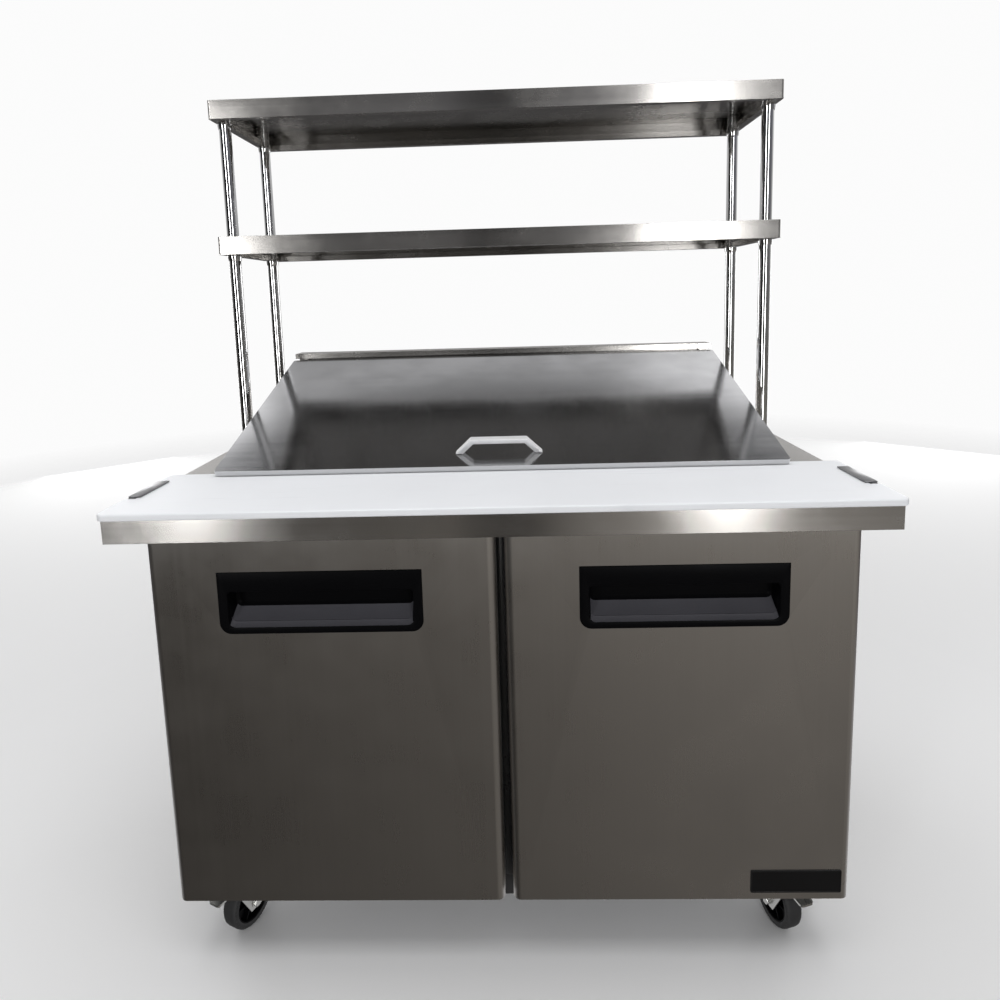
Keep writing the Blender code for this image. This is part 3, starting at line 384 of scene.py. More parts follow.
def upright_loop(low, high, inset, y, radius, top_radius=None, steps=4):
    """A box's outline from the front, shrunk by inset, at one depth."""
    flat = outline(low.x + inset, high.x - inset, low.z + inset, high.z - inset, radius, top_radius, steps)
    return [Vector((x, y, z)) for x, z in flat]


def mm(*points):
    """Points of a profile given in millimetres."""
    return [(first * 0.001, second * 0.001) for first, second in points]


def ring(radius, z, sides):
    turns = (math.tau * i / sides for i in range(sides))
    return [Vector((radius * math.cos(a), radius * math.sin(a), z)) for a in turns]


def loft(bm, loops, capped=True, closed=False):
    """Skins a row of loops that have the same number of points, and gives the rings of vertices."""
    rings = [[bm.verts.new(point) for point in loop] for loop in loops]
    count = len(rings[0])
    for low, high in zip(rings, rings[1:] + rings[:1] if closed else rings[1:]):
        for i in range(count):
            j = (i + 1) % count
            bm.faces.new((low[i], low[j], high[j], high[i]))
    if capped and not closed:
        bm.faces.new(rings[0][::-1])
        bm.faces.new(rings[-1])
    return rings


def lathe(bm, profile, sides=32, at=Matrix(), closed=False):
    """A turned shape about the Z of `at`, from (radius, z) points."""
    loft(bm, [[at @ point for point in ring(r, z, sides)] for r, z in profile], True, closed)


def block(bm, low, high, radius=0.0, segments=2, at=Matrix()):
    """A box with rounded edges."""
    low, high = Vector(low), Vector(high)
    size = Matrix.Translation((low + high) / 2) @ Matrix.Diagonal((*(high - low), 1))
    verts = bmesh.ops.create_cube(bm, size=1, matrix=size)["verts"]
    if radius:
        edges = list({edge for vert in verts for edge in vert.link_edges})
        made = bmesh.ops.bevel(bm, geom=edges, offset=radius, segments=segments, affect="EDGES", profile=0.5)
        rounded = {vert for face in made["faces"] for vert in face.verts}
        verts = list(rounded | {vert for vert in verts if vert.is_valid})
    bmesh.ops.transform(bm, matrix=at, verts=verts)


def settle(obj, body, replaces=()):
    """Puts an object in the scene on its body, in place of the parts it replaces."""
    bpy.context.scene.collection.objects.link(obj)
    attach(obj, body)
    if replaces:
        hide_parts(*replaces)
    return obj


def dressed(name, mesh, body, finish, replaces, sharp):
    mesh.materials.append(MATERIALS[finish])
    mesh.shade_smooth()
    mesh.set_sharp_from_angle(angle=math.radians(sharp))
    return settle(bpy.data.objects.new(name, mesh), body, replaces)


def piece(name, bm, body, finish, replaces=(), sharp=35.0, at=None, outward=True):
    """An object from a bmesh, smooth but for its sharp edges, that rides on a body."""
    if at is not None:
        bm.transform(at)
    if outward:
        bmesh.ops.recalc_face_normals(bm, faces=bm.faces)
    mesh = bpy.data.meshes.new(name)
    bm.to_mesh(mesh)
    bm.free()
    return dressed(name, mesh, body, finish, replaces, sharp)


def wires(name, runs, radius, finish, replaces=(), sides=3, closed=False):
    """Round wires along runs of points, as one mesh on the table."""
    data = bpy.data.curves.new(name, "CURVE")
    data.dimensions = "3D"
    data.bevel_depth = radius
    data.bevel_resolution = sides
    data.use_fill_caps = True
    for run in runs:
        spline = data.splines.new("POLY")
        spline.points.add(len(run) - 1)
        spline.use_cyclic_u = closed
        for point, place in zip(spline.points, run):
            point.co = (*place, 1)
    guide = bpy.data.objects.new(name, data)
    mesh = bpy.data.meshes.new_from_object(guide)
    bpy.data.objects.remove(guide)
    bpy.data.curves.remove(data)
    mesh.materials.clear()
    return dressed(name, mesh, "table", finish, replaces, 50)


def bend(centre, radius, start, end, across, up, steps=8):
    """Points along an arc in the plane of two directions."""
    centre, across, up = Vector(centre), Vector(across), Vector(up)
    turns = (math.radians(start + (end - start) * i / steps) for i in range(steps + 1))
    return [centre + radius * (math.cos(a) * across + math.sin(a) * up) for a in turns]


def facing(point, direction):
    """A frame at a point whose Z is a direction."""
    turn = Vector(direction).to_track_quat("Z", "Y").to_matrix().to_4x4()
    return Matrix.Translation(point) @ turn


def screws(name, places, direction, radius=0.0042):
    """Domed screw heads with a socket, standing on a face of the table."""
    bm = bmesh.new()
    height = radius * 0.55
    head = [(radius, 0.0), (radius, height * 0.25), (radius * 0.86, height * 0.7), (radius * 0.55, height)]
    socket = [(radius * 0.5, height), (radius * 0.3, height * 0.45), (radius * 0.05, height * 0.4)]
    for place in places:
        lathe(bm, head + socket, 18, facing(place, direction))
    piece(name, bm, "table", "zinc", sharp=50)


# ---- Doors ----
DOOR_CORNER = 0.014
SKIN_SHEET = 0.0008
PIN_HOLE = 0.0046
SUPPORT = 0.0004  # a strip beside each bend, which keeps the flat faces flat
WINDOW_GAP = 0.0003  # round the handle
RECESS_SIDE = 0.0163  # from the outer edge of the handle's frame to its recess
RECESS_FOOT = 0.0125
LIP_DROP = 0.035
LIP_BACK = 0.008  # behind the door's face
SCOOP_RISE = 0.028


def chain(bm, verts, closed=True):
    pairs = zip(verts, verts[1:] + verts[:1] if closed else verts[1:])
    return [bm.edges.get(pair) or bm.edges.new(pair) for pair in pairs]


def make_skin(side):
    """Door sheet: front and sides folded round two vertical corners, with a window and two pin holes."""
    node = f"{side}_door_skin"
    low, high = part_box(node)
    hinge = JOINTS[f"{side}_door_hinge"]["pos_m"]
    corners = []
    y = low.y + DOOR_CORNER
    for x, start in ((low.x + DOOR_CORNER, 180), (high.x - DOOR_CORNER, 270)):
        arc = bend((x, y, 0), DOOR_CORNER, start, start + 90, (1, 0, 0), (0, 1, 0), 12)
        corners.append([(point.x, point.y) for point in arc])
    first, last = corners
    before = [(low.x, high.y), (low.x, first[0][1] + SUPPORT)]
    after = [(high.x, last[-1][1] + SUPPORT), (high.x, high.y)]
    path = before + first + [(first[-1][0] + SUPPORT, low.y)]
    gap = len(path) - 1
    path = path + [(last[0][0] - SUPPORT, low.y)] + last + after
    bm = bmesh.new()
    bottoms = [bm.verts.new((x, y, low.z)) for x, y in path]
    tops = [bm.verts.new((x, y, high.z)) for x, y in path]
    for i in range(len(path) - 1):
        if i != gap:
            bm.faces.new((bottoms[i], bottoms[i + 1], tops[i + 1], tops[i]))
    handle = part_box(f"{side}_door_handle")
    window = [upright_loop(*handle, -WINDOW_GAP, y, 0.0203, 0.001, 8) for y in (low.y, low.y + SKIN_SHEET)]
    near, _ = loft(bm, window, capped=False)
    edges = chain(bm, [bottoms[gap], bottoms[gap + 1], tops[gap + 1], tops[gap]]) + chain(bm, near)
    bmesh.ops.triangle_fill(bm, use_beauty=True, edges=edges)
    for level, z in ((bottoms, low.z), (tops, high.z)):
        centre = Vector((hinge[0], hinge[1], z))
        hole = [bm.verts.new(centre + point) for point in ring(PIN_HOLE, 0.0, 24)]
        bmesh.ops.triangle_fill(bm, use_beauty=True, edges=chain(bm, level) + chain(bm, hole))
    piece(f"{side}_skin", bm, f"{side}_door", UPRIGHT, [node], 35)


def make_pocket(side):
    """The recessed handle: a frame proud of the door, a lip above, and a scoop that fingers slide over."""
    node = f"{side}_door_handle"
    low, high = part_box(node)
    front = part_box(f"{side}_door_skin")[0].y
    foot = low.z + RECESS_FOOT
    lip = high.z - LIP_DROP
    back = high.y - 0.0037
    lip_back = front + LIP_BACK
    roof = high.z - 0.0122

    def slope(y):
        return foot + (y - low.y) / (back - low.y) * SCOOP_RISE

    def rim(inset, y, radius, top_radius):
        return upright_loop(low, high, inset, y, radius, top_radius, 8)

    def recess(y, inset, bottom, top, radius, top_radius):
        inset += RECESS_SIDE
        flat = outline(low.x + inset, high.x - inset, bottom, top, radius, top_radius, 8)
        return [Vector((x, y, z)) for x, z in flat]

    ledge = slope(lip_back)
    loops = [
        rim(0.003, high.y, 0.017, 0.003),
        rim(0.003, front, 0.017, 0.003),
        rim(0.0, front, 0.02, 0.004),
        rim(0.0, low.y + 0.0006, 0.02, 0.004),
        rim(0.0003, low.y + 0.0002, 0.0197, 0.0038),
        rim(0.0009, low.y, 0.0192, 0.0033),
        recess(low.y, -0.0016, foot - 0.0016, lip + 0.0016, 0.0135, 0.008),
        recess(low.y + 0.0004, -0.0006, foot - 0.0006, lip + 0.0006, 0.0125, 0.007),
        recess(low.y + 0.0016, 0.0, foot, lip, 0.012, 0.0065),
        recess(lip_back - 0.0012, 0.0008, ledge, lip, 0.012, 0.0065),
        recess(lip_back - 0.0003, 0.0009, ledge, lip + 0.0005, 0.012, 0.006),
        recess(lip_back, 0.0009, ledge, lip + 0.0016, 0.012, 0.005),
        recess(lip_back + 0.0001, 0.0009, ledge, roof - 0.003, 0.012, 0.005),
        recess(lip_back + 0.003, 0.0012, slope(lip_back + 0.003), roof, 0.012, 0.005),
        recess(back - 0.004, 0.003, slope(back - 0.004), roof, 0.01, 0.005),
        recess(back, 0.008, slope(back) + 0.003, roof - 0.004, 0.006, 0.004),
    ]
    bm = bmesh.new()
    loft(bm, loops)
    bmesh.ops.recalc_face_normals(bm, faces=bm.faces)
    middle = (foot + lip) / 2
    # The scoop's upward faces in the lower half take the paler copy, as painted light from above.
    for face in bm.faces:
        place = face.calc_center_median()
        inside = abs(place.x - (low.x + high.x) / 2) < (high.x - low.x) / 2 - RECESS_SIDE * 0.7
        if inside and low.y + 0.001 < place.y < back - 0.0045 and place.z < middle and face.normal.z > 0.45:
            face.material_index = 1
    obj = piece(f"{side}_pocket", bm, f"{side}_door", "handle_plastic", [node], 30)
    obj.data.materials.append(MATERIALS["scoop_painted_light"])


def make_seal(side):
    """The magnetic gasket: a hollow bellows that runs round the door."""
    node = f"{side}_door_gasket"
    low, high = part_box(node)
    deep = high.y - low.y
    section = (
        (0.0, 0.0), (0.0, 0.22), (0.0018, 0.34), (0.0002, 0.46), (0.0002, 0.84), (0.0012, 1.0),
        (0.0096, 1.0), (0.0106, 0.84), (0.0106, 0.46), (0.0092, 0.34), (0.0108, 0.22), (0.0108, 0.0),
    )
    bm = bmesh.new()
    loops = [
        upright_loop(low, high, inset, low.y + share * deep, 0.0015 + 0.0002 * inset, steps=2)
        for inset, share in section
    ]
    loft(bm, loops, closed=True)
    piece(f"{side}_seal", bm, f"{side}_door", "gasket", [node], 50)


def make_plate():
    """The plate on the right door: blank, with a raised border."""
    low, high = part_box("nameplate")
    field = low.y + 0.0004
    sections = (
        (0.0, high.y, 0.003), (0.0, field, 0.003), (0.0004, low.y, 0.0027), (0.0022, low.y, 0.0015),
        (0.0027, field, 0.0012), (0.004, field, 0.001),
    )
    bm = bmesh.new()
    loft(bm, [upright_loop(low, high, *section) for section in sections])
    piece("plate", bm, "right_door", "plate_black", ["nameplate"], 30)


CLIP_REACH = 0.0205  # over the end of the board
CLIP_LEG = 0.01
CLIP_SHEET = 0.0022


def make_clips():
    """Steel angles at both ends of the board: a leg in its notch and a plate over its edge."""
    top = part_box("cutting_board")[1].z
    for side, sign in zip(SIDES, (-1, 1)):
        node = f"board_retainer_{side}"
        low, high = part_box(node)
        outer = max(abs(low.x), abs(high.x))
        bm = bmesh.new()
        xs = sorted((sign * outer, sign * (outer - CLIP_LEG)))
        block(bm, (xs[0], low.y, low.z), (xs[1], high.y, top + 0.0004), 0.0008)
        xs = sorted((sign * outer, sign * (outer - CLIP_REACH)))
        block(bm, (xs[0], low.y, high.z - CLIP_SHEET), (xs[1], high.y, high.z), 0.001)
        piece(f"{side}_clip", bm, "table", "clip_steel", [node], 30)


# ---- Shelving posts ----
POST_RADIUS = 0.0127
POST_WALL = 0.0015
FOOT_THICK = 0.003
REAR_POST_IN = 0.03  # from the front edge of a rear post's foot plate
SLEEVE_TALL = 0.011


def make_post(side, where):
    """A polished tube, its foot plate, and the split sleeves that hold the shelves up."""
    node = f"post_{where}_{side}"
    low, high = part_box(node)
    x = (low.x + high.x) / 2
    y = (low.y + high.y) / 2 if where == "front" else low.y + REAR_POST_IN
    foot = low.z + FOOT_THICK
    at = Matrix.Translation((x, y, 0))
    tube = ((-POST_WALL, low.z), (0.0, low.z), (0.0, high.z - 0.001), (-0.001, high.z), (-POST_WALL, high.z))
    collar = ((0.0002, foot), (0.003, foot), (0.0022, foot + 0.0018), (0.0002, foot + 0.0032))
    bm = bmesh.new()
    for profile in (tube, collar):
        lathe(bm, [(POST_RADIUS + out, z) for out, z in profile], 48, at, closed=True)
    plate = ((0.0, low.z), (0.0, foot - 0.0008), (0.0008, foot))
    loft(bm, [level_loop(low, high, inset, z, 0.005) for inset, z in plate])
    piece(f"{where}_{side}_post", bm, "table", "polished_tube", [node], 40)
    spots = [(x, y + step, foot) for step in (-0.0235, 0.0235)]
    screws(f"{where}_{side}_post_screws", spots, (0, 0, 1), 0.0036)
    for shelf in ("upper", "lower"):
        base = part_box(f"overshelf_{shelf}")[0].z - 0.0002
        sleeve = (
            (0.0003, base), (0.0024, base), (0.0024, base - 0.0045), (0.0012, base - SLEEVE_TALL),
            (0.0003, base - SLEEVE_TALL),
        )
        bm = bmesh.new()
        lathe(bm, [(POST_RADIUS + out, z) for out, z in sleeve], 40, at, closed=True)
        piece(f"{where}_{side}_{shelf}_sleeve", bm, "table", "polished_tube", sharp=40)


# ---- Cold well ----
PAN_COLUMNS = 6
PAN_DEPTH = 0.1
PAN_RIM = 0.0015
PAN_SHEET = 0.0008


def pan_mesh(wide, long, rim_low, rim_high):
    """One sixth-size pan, with its low corner at the origin: rolled rim, tapered walls, rounded floor."""
    floor = rim_high - PAN_DEPTH + 0.001
    sections = (
        (0.0009, rim_low + 0.0003, 0.006), (0.0004, rim_low + 0.0008, 0.0062),
        (0.0006, rim_high - 0.0002, 0.0062), (0.0014, rim_high, 0.006), (0.005, rim_high, 0.008),
        (0.0066, rim_high - 0.0006, 0.01), (0.0074, rim_high - 0.0026, 0.012),
        (0.0078, rim_high - 0.008, 0.015), (0.0086, rim_high - 0.013, 0.017),
        (0.0088, rim_high - 0.016, 0.017), (0.012, floor + 0.015, 0.021),
        (0.0132, floor + 0.007, 0.022), (0.0165, floor + 0.002, 0.02), (0.022, floor, 0.016),
        (0.036, floor, 0.008),
    )
    bm = bmesh.new()
    corners = Vector((0, 0, 0)), Vector((wide, long, 0))
    rings = loft(bm, [level_loop(*corners, *section, 6) for section in sections], capped=False)
    bm.faces.new(rings[-1])
    return bm


def make_pans():
    for row in ("front", "middle", "rear"):
        node = f"pan_row_{row}"
        low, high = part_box(node)
        wide = (high.x - low.x) / PAN_COLUMNS
        bm = pan_mesh(wide, high.y - low.y, high.z - PAN_RIM, high.z)
        corner = Matrix.Translation((low.x, low.y, 0))
        pans = [piece(f"pan_{row}_1", bm, "table", "pan_steel", [node], 40, corner, False)]
        for column in range(1, PAN_COLUMNS):
            pan = bpy.data.objects.new(f"pan_{row}_{column + 1}", pans[0].data)
            pan.location.x = wide * column
            pans.append(settle(pan, "table"))
        for pan in pans:
            modify(pan, "SOLIDIFY", thickness=PAN_SHEET, offset=-1)


RIM_WIRE = 0.003
ROD_WIRE = 0.0015
ROD_GAPS = 22
RAIL_IN = 0.06  # from the rim to the outer rails


def make_wire_shelf(side):
    """Coated wires: a round rim, three cross rails, and close rods that run front to back."""
    node = f"wire_shelf_{side}"
    low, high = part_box(node)
    x0, x1, y0, y1 = low.x + RIM_WIRE, high.x - RIM_WIRE, low.y + RIM_WIRE, high.y - RIM_WIRE
    loop = level_loop(low, high, RIM_WIRE, (low.z + high.z) / 2, 0.01)
    wires(f"{side}_rack_rim", [loop], RIM_WIRE, "coated_wire", [node], closed=True)
    under, over = low.z + ROD_WIRE, high.z - ROD_WIRE
    rails = [[(x0, y, under), (x1, y, under)] for y in (y0 + RAIL_IN, (y0 + y1) / 2, y1 - RAIL_IN)]
    wires(f"{side}_rack_rails", rails, ROD_WIRE, "coated_wire")
    across = [x0 + (x1 - x0) * i / ROD_GAPS for i in range(1, ROD_GAPS)]
    rods = [[(x, y0, over), (x, y1, over)] for x in across]
    wires(f"{side}_rack_rods", rods, ROD_WIRE, "coated_wire", sides=2)


# ---- Refrigeration ----
FIN_HALF = 0.00016
PLATE_HALF = 0.0007
BEND_ROOM = 0.0095  # past each end plate, for the return bends
TUBE_RADIUS = 0.0035


def make_fin_pack(name, pitch, rows, columns=2):
    """Thin fins between two end plates, threaded by copper tubes with return bends."""
    node = f"{name}_coil"
    low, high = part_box(node)
    bm = bmesh.new()
    left, right = low.x + BEND_ROOM, high.x - BEND_ROOM
    count = int((right - left) / pitch)
    edge = Vector((0, 0.0012, 0.001))  # of an end plate past the fins
    for i in range(1, count):
        x = left + (right - left) * i / count
        corners = Vector((x - FIN_HALF, low.y, low.z)) + edge, Vector((x + FIN_HALF, high.y, high.z)) - edge
        block(bm, *corners)
    piece(f"{name}_fins", bm, "table", "fin_aluminium", [node])
    bm = bmesh.new()
    for x in (left, right):
        block(bm, (x - PLATE_HALF, low.y, low.z), (x + PLATE_HALF, high.y, high.z), 0.0004)
    piece(f"{name}_end_plates", bm, "table", "galvanised")
    step = (high.z - low.z) / rows
    depth = (high.y - low.y) / columns
    turn = step / 2
    squeeze = min(1.0, (BEND_ROOM - 0.004) / turn)
    bow = bend((0, 0, 0), turn, -80, 80, (1, 0, 0), (0, 0, 1), 6)
    runs = []
    for column in range(columns):
        y = low.y + depth * (column + 0.5)
        run = []
        for row in range(rows):
            z = low.z + step * (row + 0.5)
            start, end, outward = (left, right, 1) if row % 2 == 0 else (right, left, -1)
            run += [Vector((start, y, z)), Vector((end, y, z))]
            if row < rows - 1:
                run += [Vector((end + outward * point.x * squeeze, y, z + turn + point.z)) for point in bow]
        runs.append(run)
    wires(f"{name}_tubes", runs, TUBE_RADIUS, "copper")


BLADE_SHEET = 0.0012
BLADE_STEPS = 8


def make_fan(name, body, blades, hub, finish):
    """Cambered blades round a hub, about Y."""
    low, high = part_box(name)
    centre = Vector(JOINTS[f"{name}_spin"]["pos_m"])
    reach = (high.z - low.z) / 2 - 0.001
    depth = (high.y - low.y) / 2 - 0.001
    bm = bmesh.new()
    for blade in range(blades):
        grid = []
        for i in range(BLADE_STEPS + 1):
            out = i / BLADE_STEPS
            r = hub * 0.9 + (reach - hub * 0.9) * out
            chord = math.tau / blades * (0.62 + 0.1 * math.sin(math.pi * out))
            line = []
            for j in range(BLADE_STEPS + 1):
                t = j / BLADE_STEPS - 0.5
                angle = math.tau * blade / blades + chord * t + 0.35 * out
                rise = depth * (1.5 * t + 0.5 * (0.25 - t * t)) * (1 - 0.25 * out)
                line.append(bm.verts.new((r * math.cos(angle), rise, r * math.sin(angle))))
            grid.append(line)
        for low_line, high_line in zip(grid, grid[1:]):
            for j in range(BLADE_STEPS):
                bm.faces.new((low_line[j], low_line[j + 1], high_line[j + 1], high_line[j]))
    vanes = piece(f"{name}_blades", bm, body, finish, (), 60, Matrix.Translation(centre), False)
    modify(vanes, "SOLIDIFY", thickness=BLADE_SHEET, offset=-1)
    cap = ((0.3, -1.0), (0.8, -1.0), (0.96, -0.86), (1.0, -0.6), (1.0, 0.6), (0.96, 0.86), (0.3, 1.0))
    bm = bmesh.new()
    lathe(bm, [(hub * r, depth * y) for r, y in cap], 36, facing(centre, (0, 1, 0)))
    piece(f"{name}_hub", bm, body, finish, [name], 40)


GUARD_RINGS = (0.018, 0.036, 0.054, 0.072, 0.088)
GUARD_REACH = 0.094


def make_guard():
    """Wire guard over the evaporator fan."""
    x, _, z = JOINTS["evaporator_fan_spin"]["pos_m"]
    centre = Vector((x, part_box("evaporator_housing")[0].y - 0.0016, z))
    runs = [[centre + Vector((p.x, 0, p.y)) for p in ring(radius, 0, 40)] for radius in GUARD_RINGS]
    wires("evaporator_guard", runs, 0.0011, "coated_wire", sides=2, closed=True)
    spokes = []
    for i in range(4):
        angle = math.pi / 4 + math.pi / 2 * i
        way = Vector((math.cos(angle), 0, math.sin(angle)))
        spokes.append([centre + way * GUARD_RINGS[0], centre + way * GUARD_REACH])
    wires("evaporator_guard_spokes", spokes, 0.0013, "coated_wire", sides=2)


FOOT_X = 0.098
FOOT_Y = 0.054


def make_compressor():
    """Hermetic shell with its weld seam, feet on grommets, terminal box and pipes."""
    low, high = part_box("compressor")
    x, y, floor = (low.x + high.x) / 2, (low.y + high.y) / 2, low.z
    shell = mm(
        (6, 5.5), (45, 7), (66, 15), (76, 28), (79.5, 44), (80, 60), (80, 99), (81.2, 100.4), (83.8, 102),
        (84.5, 106), (83.8, 110), (81.2, 111.6), (80, 113), (80, 144), (78.5, 159), (74, 174), (65, 187),
        (50, 196), (30, 202), (10, 204.5), (1, 204.8),
    )
    grommet = mm((3.5, 0), (10, 0), (10.5, 3), (8.5, 5.5), (8.5, 9.5), (10, 12), (9.5, 14.5), (3.5, 15))
    under, over = floor + 0.006, floor + 0.009  # faces of the foot rails
    bm = bmesh.new()
    lathe(bm, shell, 48, Matrix.Translation((x, y, floor)))
    block(bm, (low.x + 0.004, y - 0.022, under), (high.x - 0.004, y + 0.022, over), 0.0012)
    for sign in (-1, 1):
        foot = x + sign * FOOT_X
        block(bm, (foot - 0.012, low.y + 0.004, under), (foot + 0.012, high.y - 0.004, over), 0.0012)
    piece("compressor_shell", bm, "table", "black_enamel", ["compressor"], 40)
    bm = bmesh.new()
    for sx in (-1, 1):
        for sy in (-1, 1):
            spot = (x + sx * FOOT_X, y + sy * FOOT_Y, floor)
            lathe(bm, grommet, 24, Matrix.Translation(spot), closed=True)
    piece("compressor_grommets", bm, "table", "gasket", sharp=50)
    bm = bmesh.new()
    block(bm, (x - 0.03, y - 0.1, floor + 0.045), (x + 0.03, y - 0.074, floor + 0.095), 0.004, 3)
    block(bm, (x - 0.024, y - 0.103, floor + 0.051), (x + 0.024, y - 0.098, floor + 0.089), 0.0015, 2)
    piece("compressor_terminal_box", bm, "table", "handle_plastic")
    pipes = []
    for height, reach_y, rise in ((0.075, 0.02, 0.185), (0.125, -0.02, 0.16)):
        start = Vector((x - 0.074, y + reach_y, floor + height))
        out = start + Vector((-0.026, 0, 0))
        elbow = bend(out + Vector((0, 0, 0.018)), 0.018, -90, -180, (1, 0, 0), (0, 0, 1))
        pipes.append([start, out, *elbow, out + Vector((-0.018, 0, rise - height))])
    wires("compressor_pipes", pipes, 0.004, "copper")


def make_inlet():
    """Ribbed gland on the rear grille."""
    low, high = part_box("power_inlet")
    x, z = (low.x + high.x) / 2, (low.z + high.z) / 2
    radius = (high.x - low.x) / 2
    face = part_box("rear_grille")[1].y
    deep = high.y - face
    ribs = (
        (1.0, 0.14), (0.9, 0.3), (0.62, 0.36), (0.62, 0.46), (0.54, 0.5), (0.6, 0.6), (0.52, 0.66),
        (0.57, 0.76), (0.5, 0.84), (0.5, 1.0),
    )
    shape = [(0.0042, -0.012), (0.01, -0.012), (0.0104, 0.0), (radius, 0.0002)]
    shape += [(radius * share, deep * along) for share, along in ribs]
    shape += [(0.0042, deep), (0.004, deep * 0.5)]
    bm = bmesh.new()
    lathe(bm, shape, 32, facing((x, face, z), (0, 1, 0)), closed=True)
    piece("inlet_gland", bm, "table", "handle_plastic", ["power_inlet"], 40)


KNOB_RADIUS = 0.018
KNOB_FLUTES = 24
KNOB_SIDES = 96


def make_knob():
    """Thermostat knob: fluted skirt, a raised bar, and a pale pointer line."""
    low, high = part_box("thermostat_knob")
    x, _, z = JOINTS["thermostat_turn"]["pos_m"]
    deep = high.y - low.y
    at = facing((x, high.y, z), (0, -1, 0))
    skirt = (
        (0.0, 1.0, 0.0), (0.12, 1.0, 0.0), (0.2, 0.985, 0.05), (0.66, 0.9, 0.05), (0.76, 0.86, 0.0),
        (0.82, 0.8, 0.0), (0.84, 0.1, 0.0),
    )
    bm = bmesh.new()
    loops = []
    for share, size, cut in skirt:
        loop = []
        for i in range(KNOB_SIDES):
            angle = math.tau * i / KNOB_SIDES
            r = KNOB_RADIUS * size * (1 - cut * (0.5 + 0.5 * math.cos(KNOB_FLUTES * angle)))
            loop.append(at @ Vector((r * math.cos(angle), r * math.sin(angle), share * deep)))
        loops.append(loop)
    loft(bm, loops)
    block(bm, (-0.0155, -0.0028, deep * 0.8), (0.0155, 0.0028, deep), 0.0009, 2, at)
    piece("knob", bm, "thermostat", "handle_plastic", ["thermostat_knob"], 35)
    bm = bmesh.new()
    block(bm, (0.006, -0.0006, deep - 0.0002), (0.015, 0.0006, deep + 0.0001), 0.0, 1, at)
    piece("knob_pointer", bm, "thermostat", "white_plastic")


# ---- Casters ----
WHEEL_RADIUS = 0.051  # that the tread's profile is drawn for
TREAD_MARKS = 36
WHEEL_SPOKES = 6
BOLT_AT = 0.0226  # from the middle of the wheel to the fork's outer face


def wheel_frame(where):
    """The wheel's own frame: Z along its axle."""
    joint = JOINTS[f"{where}_axle"]
    return facing(joint["pos_m"], joint["axis"])


def make_wheel(where):
    at = wheel_frame(where)
    radius = at.translation.z
    node = f"caster_{where}_wheel"
    half = mm((39.5, 15), (45, 15.8), (48.5, 15), (50.3, 12.5), (51, 8.5))
    tread = [(r, -z) for r, z in half] + half[::-1]
    tread = [(r * radius / WHEEL_RADIUS, z) for r, z in tread]
    bm = bmesh.new()
    lathe(bm, tread, 72, at, closed=True)
    for i in range(TREAD_MARKS):
        turn = Matrix.Rotation(math.tau * i / TREAD_MARKS, 4, "Z")
        for sign in (-1, 1):
            low, high = sorted((sign * 0.0148, sign * 0.016))
            block(bm, (0.0452, -0.0006, low), (0.0478, 0.0006, high), 0.0, 1, at @ turn)
    piece(f"{where}_tyre", bm, f"{where}_wheel", "tread", [node], 40)
    core = mm((39.5, -14.6), (37.2, -14.6), (35.6, -12), (34.5, -4.8), (18, -4.4), (16, -10))
    core += mm((14.6, -16.6), (5.4, -17.2))
    core += [(r, -z) for r, z in core[::-1]]
    bm = bmesh.new()
    lathe(bm, core, 56, at, closed=True)
    for i in range(WHEEL_SPOKES):
        turn = Matrix.Rotation(math.tau * i / WHEEL_SPOKES, 4, "Z")
        for sign in (-1, 1):
            low, high = sorted((sign * 0.004, sign * 0.0115))
            block(bm, (0.016, -0.0015, low), (0.0358, 0.0015, high), 0.0006, 1, at @ turn)
    piece(f"{where}_wheel_core", bm, f"{where}_wheel", "handle_plastic", sharp=40)


def make_caster_hardware(where):
    """Axle bolt and nut, ball race, kingpin and the screws of the top plate."""
    at = wheel_frame(where)
    body = f"{where}_caster"
    head = mm((8.6, 0), (9, 0.8), (9, 4.2), (8, 5.2), (3, 5.2))
    nut = mm((9, 0), (9, 6.4), (8.2, 7.2), (4.6, 7.2))
    washer = mm((11, 0), (11, 1), (6, 1.1))
    far_side = Matrix.Translation((0, 0, -BOLT_AT)) @ Matrix.Rotation(math.pi, 4, "X")
    bm = bmesh.new()
    lathe(bm, head, 6, at @ Matrix.Translation((0, 0, BOLT_AT)))
    lathe(bm, nut, 6, at @ far_side)
    lathe(bm, washer, 28, at @ Matrix.Translation((0, 0, BOLT_AT - 0.0001)))
    piece(f"{where}_axle_bolt", bm, body, "zinc", sharp=30)
    x, y, _ = JOINTS[f"{where}_swivel"]["pos_m"]
    swivel = Matrix.Translation((x, y, 0))
    race = mm((20, 112.5), (30.5, 116), (31.2, 118), (31.2, 122.2), (30, 124.8), (20, 125.6))
    kingpin = mm((9.5, 112.5), (9.5, 108.5), (7.8, 106.6), (2, 106.2))
    bm = bmesh.new()
    lathe(bm, race, 56, swivel, closed=True)
    lathe(bm, kingpin, 24, swivel)
    piece(f"{where}_ball_race", bm, body, "zinc", sharp=35)
    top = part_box("base_frame")[0].z
    spots = [(x + sx * 0.04, y + sy * 0.033, top) for sx in (-1, 1) for sy in (-1, 1)]
    screws(f"{where}_plate_screws", spots, (0, 0, -1), 0.0038)


# ---- Cabinet ----
HINGE_LEAF = 0.0028
HINGE_SCREW_Z = 0.851
STRIP_HALF = 0.008
STRIP_THICK = 0.0014
TAB_HALF = 0.02
TAB_DROP = 0.04


def lattice(xs, y, zs):
    return [(x, y, z) for x in xs for z in zs]


